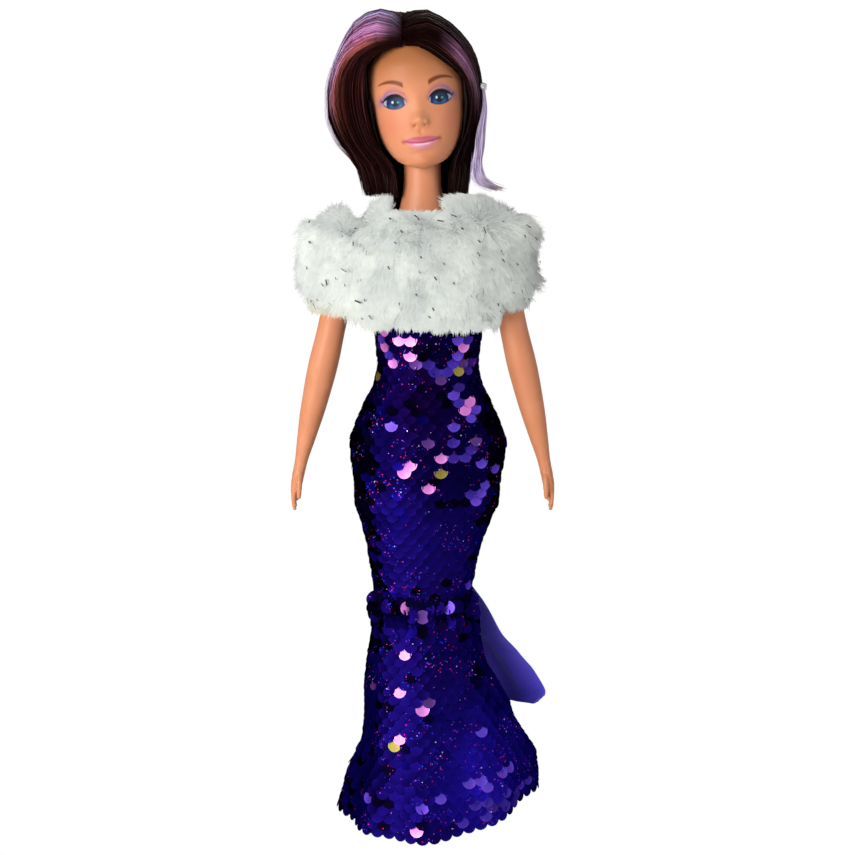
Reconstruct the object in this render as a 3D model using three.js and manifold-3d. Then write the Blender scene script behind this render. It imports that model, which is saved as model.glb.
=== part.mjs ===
// A 29 cm fashion doll in a mermaid gown and a fur stole, as separate pieces. Millimetres, +Z up.
// The doll faces -Y, so its own left side is at +X. The floor is at Z = 0.
import * as THREE from "three";
import { mergeVertices } from "three/addons/utils/BufferGeometryUtils.js";
import Module from "manifold-3d";

const wasm = await Module();
wasm.setup();

// Heights, as lengths that add up from the floor
const heelRise = 14;
const shinLength = 70;
const thighLength = 55;
const hipToWaist = 29;
const waistToBust = 24;
const bustToShoulder = 15;
const shoulderToNeck = 15;
const neckLength = 16;
const kneeHeight = heelRise + shinLength;
const hipHeight = kneeHeight + thighLength;
const waistHeight = hipHeight + hipToWaist;
const bustHeight = waistHeight + waistToBust;
const shoulderHeight = bustHeight + bustToShoulder;
const neckBaseHeight = shoulderHeight + shoulderToNeck;
const neckTopHeight = neckBaseHeight + neckLength;

// Clearances
const seatGap = 0.3;
const runningGap = 0.3;
const overrun = 5;

// Torso: half-widths, and depths in front of and behind the middle plane
const hipHalfWidth = 20.4;
const hipFront = 12.2;
const hipBack = 13;
const waistHalfWidth = 13.6;
const waistFront = 10;
const waistBack = 9.2;
const chestHalfWidth = 17.6;
const bustFront = 16.2;
const bustBack = 10.2;
const armpitHalfWidth = 18.8;
const armpitFront = 12.6;
const armpitBack = 10.2;
const shoulderHalfWidth = 23;
const shoulderFlatHalfWidth = 20.9;
const shoulderFront = 8.4;
const shoulderBack = 9;
const neckRadius = 6.9;
const neckSetback = 2.2;
const shellWall = 2.2;

// Hips: the legs turn on one axle, on both sides of a block between them
const hipDrumRadius = 12.6;
const crotchBlockHalfWidth = 4;
const crotchBlockRadius = 11.6;
const crotchNotch = 14;
const hipAxleRadius = 2;
const hipAxleHalfLength = 12.5;

// Legs and feet
const thighTopFront = 10.8;
const thighTopBack = 11.8;
const thighHalfWidth = 9.6;
const thighDepth = 9.8;
const kneeHalfWidth = 6.6;
const kneeDepth = 7.4;
const calfHalfWidth = 6.5;
const calfDepth = 7.6;
const ankleRadius = 3.6;
const ankleRise = 9;
const legMidGap = 0.8;
const footLength = 24;
const footHalfWidth = 4.6;
const shoeWall = 0.9;
const soleThickness = 1.2;
const heelTipRadius = 1.8;
const heelTopRadius = 3;

// Arms
const armLength = 94;
const armSplayDegrees = 13.4;
const shoulderCapRadius = 6.4;
const upperArmRadius = 5.5;
const elbowRadius = 4.8;
const wristRadius = 2.6;
const palmHalfWidth = 3.8;
const palmHalfThickness = 2.8;
const shoulderPegRadius = 2.2;
const shoulderFlangeRadius = 3.4;
const flangeThickness = 1.4;
const pegSocketDepth = 4.6;

// Neck knob and head joint
const knobRadius = 4.2;
const knobRise = 6.5;
const knobShaftRadius = 2.3;
const knobFlangeRadius = 3.8;
const neckCeiling = 5;
const socketMouthRadius = 3.4;
const neckRecessRadius = 8.1;
const neckRecessDepth = 1.8;
const headLeanDegrees = 6.5;
const headPivotHeight = neckTopHeight + knobRise;

// Head, measured from its joint
const chinDrop = 8.1;
const headHeight = 46.6;
const headHalfWidth = 16.9;
const faceReach = 17.4;
const skullReach = 17.6;
const noseReach = 3;
const lipReach = 0.9;
const eyeHollow = 0.9;
const skullHollowRadius = 12.4;
const skullHollowHeight = 31;

// Hair
const hairDrop = 18;
const hairRise = 45.6;
const hairRightReach = 33.2;
const hairLeftReach = 21;
const hairFrontReach = 15.4;
const hairBackReach = 22.4;
const hairNeckRadius = 10.9;
const hairSquareness = 2.2;
const streakDepth = 2.2;
const lockRadius = 1.1;
const tieOuterRadius = 2;
const tieLength = 2.2;

// Gown
const clothWall = 1.6;
const gownTopAboveBust = 5;
const gownTopEase = 0.5;
const bustSideEase = 1;
const ribEase = 2.9;
const waistEase = 3;
const hipEase = 6.2;
const kneeEase = 2.9;
const gownDepthEase = 3.6;
const closureRoom = 2.8;
const gownShift = 1.9;
const seamGap = 0.3;
const hemRightReach = 31.2;
const hemLeftReach = 42.4;
const hemFrontReach = 36.2;
const hemBackReach = 36;
const hemLift = 8.6;
const foldDepth = 1.3;
const foldCount = 9;
const foldGrowth = 1.5;
const hemLiftGrowth = 2;
const closureWidth = 7;
const closureThickness = 0.6;
const closureLength = 38;
const trainDrop = 50;
const trainFlare = 16;
const trainThickness = 0.8;
const trainFlareGrowth = 1.3;
const trainStartDegrees = 106;
const trainEndDegrees = 160;

// Stole
const stoleHalfWidth = 43.8;
const stoleFront = 27.4;
const stoleBack = 23.6;
const stoleHeight = 40.4;
const stoleAboveNeckBase = 2.4;
const stoleNeckEase = 3.2;
const stoleEase = 0.9;
const stoleShift = 1.2;
const liningThickness = 0.6;
const furStandOff = 0.75;
const yokeRise = 4;

// Smoothness
const torsoSides = 24;
const limbSides = 12;
const roundSides = 16;
const headSides = 30;
const hairSides = 24;
const gownSides = 24;
const flounceSides = 45;
const stoleSides = 24;
const lockSides = 6;
const lockSteps = 18;
const legSteps = 2;
const headSteps = 2;

// A row of a loft is [height, x, y, left, right, front, back]: where an oval section's middle is, and its four reaches.
// Where two rows are given with shares between them, a share is [height share, size share].
const hipToWaistShares = [[0.25, 0.17], [0.5, 0.52], [0.75, 0.88]];
const waistToBustShares = [[0.46, 0.27]];
const shoulderToNeckShares = [[0.33, 0.08], [0.53, 0.36], [0.77, 0.77]];
const crotchShare = 0.62;
const calfHeightShare = 0.4;
const thighHeightShare = 0.5;
const kneeToHipGownShares = [[0.18, 0.15], [0.33, 0.33], [0.47, 0.57], [0.6, 0.8], [0.73, 0.84], [0.87, 0.95]];
const hipToWaistGownShares = [[0.2, 0.17], [0.52, 0.57], [0.76, 0.89]];

// The foot from the sole up: [height share, y share, half-width share, front share, back share]
const footShares = [
  [0, -0.42, 0.76, 0.19, 0.2],
  [0.27, -0.38, 0.95, 0.21, 0.27],
  [0.6, -0.22, 0.9, 0.23, 0.29],
  [1, 0, 0.78, 0.22, 0.3],
  [1.28, 0.08, 0.74, 0.19, 0.22],
];

const shoeTopShare = 0.3;
const heelPlaceShare = 0.17;
const throatHeightShare = 0.62;
const throatBackShare = 0.04;

// The arm from the fingertips up: [drop share, x radius, y radius], with radii as shares of the size named beside it
const handShares = [[1, 0.28, 0.26], [0.955, 0.6, 0.66], [0.9, 0.95, 0.96], [0.855, 1, 1]];
const forearmShares = [[0.81, 0], [0.72, 0.42], [0.58, 1]];
const upperArmShares = [[0.42, 1], [0.28, 0.92], [0.12, 1.02]];
const shoulderCapShares = [[0, 1], [-0.05, 0.84], [-0.075, 0.5]];
const armTopShare = 0.74;

// The head from the chin up: [height, half-width, face reach, skull reach]. A reach below 0 stays in front of the joint.
const headShares = [
  [0, 0.2, 0.8, -0.5],
  [0.026, 0.43, 0.89, -0.25],
  [0.064, 0.6, 0.925, 0.42],
  [0.129, 0.71, 0.93, 0.62],
  [0.215, 0.8, 0.945, 0.76],
  [0.34, 0.9, 0.965, 0.9],
  [0.485, 0.97, 0.965, 0.985],
  [0.6, 1, 0.985, 1],
  [0.73, 0.965, 0.945, 0.955],
  [0.86, 0.8, 0.75, 0.775],
  [0.945, 0.53, 0.49, 0.51],
  [1, 0.14, 0.14, 0.14],
];
// The forms of the face: [height share, height spread share, side share, side spread share]
const noseTipShares = [0.35, 0.045, 0, 0.13];
const noseBridgeShares = [0.43, 0.08, 0, 0.11];
const lipShares = [0.18, 0.045, 0, 0.34];
const eyeShares = [0.48, 0.07, 0.46, 0.24];
const bridgeShare = 0.45;

// The hair's outside from its ends up: [height, right reach, left reach, front reach, back reach]
const hairShares = [
  [0, 0.6, 0.68, 0.39, 0.82],
  [0.168, 0.68, 0.82, 0.55, 0.94],
  [0.246, 0.81, 0.9, 0.62, 0.98],
  [0.356, 0.93, 0.96, 0.7, 1],
  [0.497, 1, 1, 0.8, 1],
  [0.67, 0.943, 0.94, 0.95, 0.985],
  [0.763, 0.873, 0.86, 1, 0.93],
  [0.842, 0.783, 0.7, 0.97, 0.8],
  [0.931, 0.627, 0.44, 0.74, 0.56],
  [0.983, 0.39, 0.14, 0.4, 0.3],
  [1, 0.22, 0.02, 0.14, 0.1],
];
// The face's window in the hair, round from the left temple over the part: [share of head half-width, of head height]
const windowShares = [
  [0.87, 0.326], [0.82, 0.436], [0.71, 0.504], [0.47, 0.575], [0.13, 0.655], [-0.1, 0.697], [-0.39, 0.691],
  [-0.675, 0.672], [-0.91, 0.624], [-1.07, 0.539], [-1.035, 0.311], [-0.97, 0.15], [-0.82, -0.024],
  [-0.63, -0.122], [-0.53, -0.2], [-0.53, -0.6], [0.53, -0.6], [0.53, -0.18], [0.61, -0.054], [0.79, 0.08],
  [0.85, 0.189],
];
const partShare = -0.385;
const streakEdgeShares = [[-0.385, 0.74], [-1.1, 0.66], [-1.7, 0.46], [-2.4, 0.28]];
// The pale lock, hanging from its tie and flicked out at the end: [x, y, z] as shares of hair reach, reach and drop
const lockShares = [
  [1.06, -0.02, 1.14], [1.085, -0.08, 0.72], [1, -0.2, 0.1], [0.95, -0.35, -0.4], [0.97, -0.42, -0.64],
  [1.1, -0.45, -0.8], [1.26, -0.45, -0.86],
];
const lockRadiusShares = [0.8, 1, 1, 1, 0.9, 0.7, 0.35];

// The flounce from its top down: [height share, right, left, front, back], as shares of the way to the hem's reach
const flounceShares = [
  [1, 0, 0, 0, 0],
  [0.94, 0.07, 0.03, 0.05, 0.05],
  [0.845, 0.06, 0.1, 0.12, 0.13],
  [0.667, 0.2, 0.21, 0.25, 0.26],
  [0.571, 0.26, 0.38, 0.36, 0.38],
  [0.476, 0.25, 0.54, 0.47, 0.5],
  [0.381, 0.28, 0.65, 0.58, 0.62],
  [0.286, 0.38, 0.82, 0.7, 0.74],
  [0.202, 0.66, 0.96, 0.84, 0.86],
  [0.095, 0.85, 1, 0.95, 0.96],
  [0, 1, 1, 1, 1],
];
const hemLiftMiddleDegrees = 72;
const hemLiftSpreadDegrees = 74;
// The train from the seam down: [drop share, flare share]
const trainShares = [[0, 0], [0.13, 0.22], [0.39, 0.5], [0.57, 0.85], [0.73, 0.97], [0.93, 1], [1, 0.8]];
const trainAcross = 5;

// The stole's outside from its lower edge up: [height, half-width, front, back]
const stoleShares = [
  [0, 0.945, 0.86, 0.84],
  [0.09, 0.975, 0.93, 0.92],
  [0.23, 1, 0.99, 0.98],
  [0.42, 1, 1, 1],
  [0.6, 0.985, 0.95, 0.98],
  [0.71, 0.95, 0.87, 0.94],
  [0.8, 0.89, 0.77, 0.86],
  [0.88, 0.8, 0.66, 0.77],
  [0.955, 0.67, 0.53, 0.67],
  [1, 0.44, 0.43, 0.58],
];
// Its inside above the shoulder joint: [height share, size share of the way to the neck opening]
const yokeShares = [[0, 0], [0.28, 0.02], [0.42, 0.13], [0.54, 0.38], [0.69, 0.74], [0.88, 0.94], [1, 1]];

// A row between two others.
function between(lower, upper, [heightShare, sizeShare]) {
  return lower.map((value, k) => value + (upper[k] - value) * (k === 0 ? heightShare : sizeShare));
}

// Rows on a smooth curve through the given ones.
function smoothRows(rows, stepsBetween) {
  const result = [];
  const row = (i) => rows[Math.min(Math.max(i, 0), rows.length - 1)];
  for (let i = 0; i < rows.length - 1; i += 1) {
    for (let step = 0; step < stepsBetween; step += 1) {
      const t = step / stepsBetween;
      const values = row(i).map((p1, k) => {
        const p0 = row(i - 1)[k];
        const p2 = row(i + 1)[k];
        const p3 = row(i + 2)[k];
        const bend = 2 * p0 - 5 * p1 + 4 * p2 - p3;
        const twist = 3 * p1 - p0 - 3 * p2 + p3;
        return p1 + ((p2 - p0) * t + bend * t * t + twist * t * t * t) / 2;
      });
      result.push(values);
    }
  }
  result.push(row(rows.length - 1));
  return result;
}

// The row at a height, on straight lines between rows that rise.
function rowAt(rows, height) {
  let k = 0;
  while (k < rows.length - 2 && rows[k + 1][0] < height) k += 1;
  const share = THREE.MathUtils.clamp((height - rows[k][0]) / (rows[k + 1][0] - rows[k][0]), 0, 1);
  const row = between(rows[k], rows[k + 1], [share, share]);
  return [height, ...row.slice(1)];
}

// The row with all its reaches larger.
const grown = ([height, x, y, ...reaches], growth) => [height, x, y, ...reaches.map((reach) => reach + growth)];

// The same row on the other side of the body.
const mirrored = ([height, x, y, left, right, front, back]) => [height, -x, y, right, left, front, back];

// An oval ring of points, counterclockwise from the front. A power over 2 makes it squarer.
function ovalRing([height, x, y, left, right, front, back], sides, power = 2) {
  const ring = [];
  for (let i = 0; i < sides; i += 1) {
    const angle = (2 * Math.PI * i) / sides;
    const across = Math.sign(Math.sin(angle)) * Math.abs(Math.sin(angle)) ** (2 / power);
    const along = Math.sign(Math.cos(angle)) * Math.abs(Math.cos(angle)) ** (2 / power);
    const halfX = across > 0 ? right : left;
    const halfY = along > 0 ? front : back;
    ring.push(new THREE.Vector3(x + halfX * across, y - halfY * along, height));
  }
  return ring;
}

// Joins rings of equal length into one closed surface: with flat caps, or on round to the first ring again.
function skin(rings, closesOnItself = false) {
  const sides = rings[0].length;
  const positions = rings.flat().flatMap((p) => [p.x, p.y, p.z]);
  const faces = [];
  const strips = closesOnItself ? rings.length : rings.length - 1;
  for (let k = 0; k < strips; k += 1) {
    const lower = k * sides;
    const upper = ((k + 1) % rings.length) * sides;
    for (let i = 0; i < sides; i += 1) {
      const j = (i + 1) % sides;
      faces.push(lower + i, lower + j, upper + j, lower + i, upper + j, upper + i);
    }
  }
  const ends = closesOnItself ? [] : [[0, true], [rings.length - 1, false]];
  for (const [k, turned] of ends) {
    const middle = new THREE.Vector3();
    rings[k].forEach((p) => middle.addScaledVector(p, 1 / sides));
    const centre = positions.length / 3;
    positions.push(middle.x, middle.y, middle.z);
    for (let i = 0; i < sides; i += 1) {
      const here = k * sides + i;
      const next = k * sides + ((i + 1) % sides);
      faces.push(...(turned ? [centre, next, here] : [centre, here, next]));
    }
  }
  const geometry = new THREE.BufferGeometry();
  geometry.setAttribute("position", new THREE.Float32BufferAttribute(positions, 3));
  geometry.setIndex(faces);
  return geometry;
}

const inOrder = (a, b) => [Math.min(a, b), Math.max(a, b)];

const loft = (rows, sides, power) => skin(rows.map((row) => ovalRing(row, sides, power)));

// An open band with a wall, from rings that both run from the bottom up.
const band = (outerRings, innerRings) => skin([...outerRings, ...[...innerRings].reverse()], true);

// A round strand along a smooth curve through points, with its own radius at each.
function strand(points, radii, sides, steps) {
  const curve = new THREE.CatmullRomCurve3(points);
  const frames = curve.computeFrenetFrames(steps, false);
  const rings = [];
  for (let k = 0; k <= steps; k += 1) {
    const place = (k / steps) * (radii.length - 1);
    const low = Math.min(Math.floor(place), radii.length - 2);
    const radius = THREE.MathUtils.lerp(radii[low], radii[low + 1], place - low);
    const ring = [];
    for (let i = 0; i < sides; i += 1) {
      const angle = (2 * Math.PI * i) / sides;
      const point = curve.getPointAt(k / steps);
      point.addScaledVector(frames.normals[k], radius * Math.cos(angle));
      point.addScaledVector(frames.binormals[k], radius * Math.sin(angle));
      ring.push(point);
    }
    rings.push(ring);
  }
  return skin(rings);
}

function solidOf(geometry) {
  const bare = geometry.clone();
  bare.deleteAttribute("normal");
  bare.deleteAttribute("uv");
  const merged = mergeVertices(bare);
  return new wasm.Manifold(
    new wasm.Mesh({
      numProp: 3,
      vertProperties: new Float32Array(merged.attributes.position.array),
      triVerts: new Uint32Array(merged.index.array),
    }),
  );
}

function geometryOf(solid) {
  const mesh = solid.getMesh();
  const geometry = new THREE.BufferGeometry();
  geometry.setAttribute("position", new THREE.BufferAttribute(mesh.vertProperties, mesh.numProp));
  geometry.setIndex(new THREE.BufferAttribute(mesh.triVerts, 1));
  return geometry;
}

// A box between two corners.
function blockBetween([x0, y0, z0], [x1, y1, z1]) {
  const block = new THREE.BoxGeometry(x1 - x0, y1 - y0, z1 - z0);
  return solidOf(block.translate((x0 + x1) / 2, (y0 + y1) / 2, (z0 + z1) / 2));
}

// Round bars along X or Z, between two places on their axis.
function barAlongX(radius, x0, x1, y, z) {
  const bar = new THREE.CylinderGeometry(radius, radius, x1 - x0, roundSides);
  return solidOf(bar.rotateZ(Math.PI / 2).translate((x0 + x1) / 2, y, z));
}

function barAlongZ(radius, z0, z1, x, y) {
  const bar = new THREE.CylinderGeometry(radius, radius, z1 - z0, roundSides);
  return solidOf(bar.rotateX(Math.PI / 2).translate(x, y, (z0 + z1) / 2));
}

// A flat outline in Y and Z, carried along X.
function slabAlongX(shape, x0, x1) {
  const slab = new THREE.ExtrudeGeometry(shape, { depth: x1 - x0, bevelEnabled: false, curveSegments: roundSides });
  const turn = new THREE.Matrix4();
  turn.makeBasis(new THREE.Vector3(0, 1, 0), new THREE.Vector3(0, 0, 1), new THREE.Vector3(1, 0, 0));
  return solidOf(slab.applyMatrix4(turn).translate(x0, 0, 0));
}

// A flat outline in X and Z, carried along Y.
function slabAlongY(points, y0, y1) {
  const shape = new THREE.Shape(points.map(([x, z]) => new THREE.Vector2(x, z)));
  const slab = new THREE.ExtrudeGeometry(shape, { depth: y1 - y0, bevelEnabled: false });
  return solidOf(slab.rotateX(Math.PI / 2).translate(0, y1, 0));
}

const doll = new THREE.Group();
const vinyl = { color: "#e8a682", roughness: 0.45, metalness: 0 };
const darkHair = { color: "#2a0f12", roughness: 0.35, metalness: 0 };
const lilacHair = { color: "#a070c0", roughness: 0.35, metalness: 0 };
const clearPlastic = { color: "#e8e8ee", roughness: 0.1, metalness: 0 };
const hardPlastic = { color: "#e2d6c8", roughness: 0.4, metalness: 0 };
const shoePlastic = { color: "#3a2aa0", roughness: 0.3, metalness: 0 };
const sequins = { color: "#20107a", roughness: 0.2, metalness: 0.8 };
const satin = { color: "#34259a", roughness: 0.4, metalness: 0 };
const tape = { color: "#241a70", roughness: 0.9, metalness: 0 };
const fur = { color: "#e8ecea", roughness: 0.95, metalness: 0 };
const liningSatin = { color: "#e6e4e0", roughness: 0.5, metalness: 0 };

function addPiece(name, geometry, finish, parent = doll) {
  const mesh = new THREE.Mesh(geometry, new THREE.MeshStandardMaterial(finish));
  mesh.name = name;
  parent.add(mesh);
}

// The body's sections, from the crotch to the top of the neck
const evenRow = (height, half, front, back) => [height, 0, 0, half, half, front, back];
const hipRow = evenRow(hipHeight, hipHalfWidth, hipFront, hipBack);
const waistRow = evenRow(waistHeight, waistHalfWidth, waistFront, waistBack);
const bustRow = evenRow(bustHeight, chestHalfWidth, bustFront, bustBack);
const armpitHeight = (bustHeight + shoulderHeight) / 2;
const armpitRow = evenRow(armpitHeight, armpitHalfWidth, armpitFront, armpitBack);
const shoulderRow = evenRow(shoulderHeight, shoulderHalfWidth, shoulderFront, shoulderBack);
const roundNeckRow = (height, radius) => [height, 0, neckSetback, radius, radius, radius, radius];
const neckBaseRow = roundNeckRow(neckBaseHeight, neckRadius);
const torsoRows = [
  [hipHeight - crotchBlockRadius, 0, 0, ...hipRow.slice(3).map((reach) => reach * crotchShare)],
  hipRow,
  ...hipToWaistShares.map((share) => between(hipRow, waistRow, share)),
  waistRow,
  ...waistToBustShares.map((share) => between(waistRow, bustRow, share)),
  bustRow,
  armpitRow,
  shoulderRow,
  ...shoulderToNeckShares.map((share) => between(shoulderRow, neckBaseRow, share)),
  neckBaseRow,
  roundNeckRow(neckTopHeight, neckRadius),
];

// The space that a leg sweeps through as it swings forward: nothing of the torso is in it.
function legSweep() {
  const reach = hipDrumRadius + runningGap;
  const far = hipDrumRadius + hipBack + overrun;
  const shape = new THREE.Shape();
  shape.moveTo(-far, hipHeight - far);
  shape.lineTo(-far, hipHeight + reach);
  shape.lineTo(0, hipHeight + reach);
  shape.absarc(0, hipHeight, reach, Math.PI / 2, 0, true);
  shape.lineTo(far, hipHeight);
  shape.lineTo(far, hipHeight - far);
  return shape;
}

// The hollow between the two torso shells, with the places where the shoulder pegs' flanges turn
const chamberInner = shoulderFlatHalfWidth - shellWall - flangeThickness - 2 * runningGap;
function torsoHollow() {
  const hollowRow = (row) => grown(row, -shellWall);
  const neckHollowRow = roundNeckRow(neckBaseHeight - neckCeiling, knobFlangeRadius + runningGap);
  const floorHeight = hipHeight + hipDrumRadius + runningGap + shellWall;
  const shoulderHollow = evenRow(
    shoulderHeight,
    chamberInner + flangeThickness,
    shoulderFront - shellWall,
    shoulderBack - shellWall,
  );
  const rows = [
    hollowRow(rowAt(torsoRows, floorHeight)),
    ...torsoRows.filter(([height]) => height > floorHeight + shellWall && height < shoulderHeight).map(hollowRow),
    shoulderHollow,
    neckHollowRow,
  ];
  const chamberRadius = shoulderFlangeRadius + runningGap;
  const chamberEnd = shoulderFlatHalfWidth - shellWall;
  return solidOf(loft(rows, roundSides)).add(
    barAlongX(chamberRadius, -chamberEnd, chamberEnd, 0, shoulderHeight),
  );
}

function buildTorso() {
  const wide = shoulderHalfWidth + overrun;
  const deep = hipBack + bustFront + overrun;
  const holeRadius = shoulderPegRadius + runningGap;
  const drum = barAlongX(crotchBlockRadius, -wide, wide, 0, hipHeight);
  const upper = blockBetween([-shoulderFlatHalfWidth, -deep, hipHeight], [
    shoulderFlatHalfWidth,
    deep,
    neckTopHeight + overrun,
  ]);
  const torso = solidOf(loft(torsoRows, torsoSides))
    .intersect(upper.add(drum))
    .subtract(slabAlongX(legSweep(), crotchBlockHalfWidth, wide))
    .subtract(slabAlongX(legSweep(), -wide, -crotchBlockHalfWidth))
    .subtract(torsoHollow())
    .subtract(barAlongX(holeRadius, -wide, wide, 0, shoulderHeight))
    .subtract(barAlongX(hipAxleRadius + runningGap, -wide, wide, 0, hipHeight))
    .subtract(
      barAlongZ(knobShaftRadius + runningGap, shoulderHeight, neckTopHeight + overrun, 0, neckSetback),
    );
  const low = hipHeight - hipDrumRadius - overrun;
  const high = neckTopHeight + overrun;
  const frontSide = blockBetween([-wide, -deep, low], [wide, -seatGap / 2, high]);
  const backSide = blockBetween([-wide, seatGap / 2, low], [wide, deep, high]);
  addPiece("torso_front", geometryOf(torso.intersect(frontSide)), vinyl);
  addPiece("torso_back", geometryOf(torso.intersect(backSide)), vinyl);
  const axle = barAlongX(hipAxleRadius, -hipAxleHalfLength, hipAxleHalfLength, 0, hipHeight);
  addPiece("hip_axle", geometryOf(axle), hardPlastic);
}

// The knob that turns in the neck: a flange under the neck's ceiling, a shaft and a ball.
function buildNeckKnob() {
  const flangeTop = neckBaseHeight - neckCeiling - runningGap;
  const ballJoin = Math.asin(knobShaftRadius / knobRadius);
  const points = [
    new THREE.Vector2(0, flangeTop - flangeThickness),
    new THREE.Vector2(knobFlangeRadius, flangeTop - flangeThickness),
    new THREE.Vector2(knobFlangeRadius, flangeTop),
    new THREE.Vector2(knobShaftRadius, flangeTop),
  ];
  const ballSteps = 8;
  for (let k = 0; k <= ballSteps; k += 1) {
    const angle = ballJoin + ((Math.PI - ballJoin) * k) / ballSteps;
    const radius = k === ballSteps ? 0 : knobRadius * Math.sin(angle);
    points.push(new THREE.Vector2(radius, headPivotHeight - knobRadius * Math.cos(angle)));
  }
  const knob = new THREE.LatheGeometry(points, roundSides).rotateX(Math.PI / 2).translate(0, neckSetback, 0);
  addPiece("neck_knob", geometryOf(solidOf(knob)), hardPlastic);
}

// A leg with its foot, on the doll's left, from the sole up
const ankleHeight = heelRise + ankleRise;
const legInner = legMidGap / 2;
const footX = legInner + footHalfWidth + shoeWall + seatGap;
function footRows() {
  const bottom = soleThickness + seatGap;
  return footShares.map(([heightShare, yShare, widthShare, frontShare, backShare]) => [
    bottom + (heelRise - bottom) * heightShare,
    footX,
    footLength * yShare,
    footHalfWidth * widthShare,
    footHalfWidth * widthShare,
    footLength * frontShare,
    footLength * backShare,
  ]);
}

const legColumn = (height, inner, half, front, back) => [height, inner + half, 0, half, half, front, back];
function legRows() {
  const ankle = [ankleHeight, footX, ankleRadius / 2, ankleRadius, ankleRadius, ankleRadius, ankleRadius];
  const calf = legColumn(kneeHeight - shinLength * calfHeightShare, legInner, calfHalfWidth, calfDepth, calfDepth);
  const knee = legColumn(kneeHeight, legInner, kneeHalfWidth, kneeDepth, kneeDepth);
  const thighHeight = kneeHeight + thighLength * thighHeightShare;
  const thigh = legColumn(thighHeight, legInner, thighHalfWidth, thighDepth, thighDepth);
  const topInner = crotchBlockHalfWidth + seatGap;
  const topHalf = (hipHalfWidth - topInner) / 2;
  const hip = legColumn(hipHeight, topInner, topHalf, thighTopFront, thighTopBack);
  const body = rowAt(torsoRows, hipHeight + hipDrumRadius);
  const top = legColumn(body[0], topInner, (body[4] - topInner) / 2, body[5], body[6]);
  const shaped = smoothRows([footRows().at(-1), ankle, calf, knee, thigh, hip], legSteps);
  return [...footRows().slice(0, -1), ...shaped, top];
}

function buildLeg(side, name) {
  const sided = (rows) => (side > 0 ? rows : rows.map(mirrored));
  const far = hipHalfWidth + overrun;
  const topInner = side * (crotchBlockHalfWidth + seatGap);
  const [notchX0, notchX1] = inOrder(-side * overrun, topInner);
  const [wideX0, wideX1] = inOrder(0, side * far);
  const notchFloor = hipHeight - crotchNotch;
  const keep = blockBetween([wideX0, -far, 0], [wideX1, far, hipHeight]).add(
    barAlongX(hipDrumRadius, wideX0, wideX1, 0, hipHeight),
  );
  const [boreX0, boreX1] = inOrder(0, side * (hipAxleHalfLength + runningGap));
  const leg = solidOf(loft(sided(legRows()), limbSides))
    .intersect(keep)
    .subtract(blockBetween([notchX0, -far, notchFloor], [notchX1, far, hipHeight + far]))
    .subtract(barAlongX(hipAxleRadius + runningGap, boreX0, boreX1, 0, hipHeight));
  addPiece(`${name}_leg`, geometryOf(leg), vinyl);

  const shoeTop = heelRise + ankleRise * shoeTopShare;
  const footLoft = (growth) => legRows().slice(0, footShares.length + 1).map((row) => grown(row, growth));
  const outerRows = footLoft(seatGap + shoeWall);
  const insideRows = footLoft(seatGap);
  outerRows[0] = [0, ...outerRows[0].slice(1)];
  insideRows[0] = [soleThickness, ...insideRows[0].slice(1)];
  const heelY = footLength * heelPlaceShare;
  const spike = new THREE.CylinderGeometry(heelTopRadius, heelTipRadius, heelRise, limbSides);
  spike.rotateX(Math.PI / 2).translate(side * footX, heelY, heelRise / 2);
  const cutFar = footLength + overrun;
  const shoe = solidOf(loft(sided(outerRows), limbSides))
    .add(solidOf(spike))
    .subtract(solidOf(loft(sided(insideRows), limbSides)))
    .subtract(blockBetween([-cutFar, -cutFar, shoeTop], [cutFar, cutFar, shoeTop + cutFar]))
    .subtract(
      blockBetween(
        [-cutFar, -cutFar, heelRise * throatHeightShare],
        [cutFar, footLength * throatBackShare, shoeTop + cutFar],
      ),
    );
  addPiece(`${name}_shoe`, geometryOf(shoe), shoePlastic);
}

// An arm on the doll's left, from the fingertips up to the shoulder cap
const armSlope = Math.tan(THREE.MathUtils.degToRad(armSplayDegrees));
const armInner = shoulderFlatHalfWidth + seatGap;
const armTopX = armInner + shoulderCapRadius * armTopShare;
const armX = (height) => armTopX + armSlope * (shoulderHeight - height);
function armRows() {
  const row = (dropShare, rx, ry) => {
    const height = shoulderHeight - armLength * dropShare;
    const x = dropShare < 0 ? armTopX : armX(height);
    return [height, x, 0, rx, rx, ry, ry];
  };
  const roundRow = (drop, radius) => row(drop, radius, radius);
  return [
    ...handShares.map(([drop, x, y]) => row(drop, palmHalfThickness * x, palmHalfWidth * y)),
    ...forearmShares.map(([drop, share]) => roundRow(drop, THREE.MathUtils.lerp(wristRadius, elbowRadius, share))),
    ...upperArmShares.map(([drop, share]) => roundRow(drop, upperArmRadius * share)),
    ...shoulderCapShares.map(([drop, share]) => roundRow(drop, shoulderCapRadius * share)),
  ];
}

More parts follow.
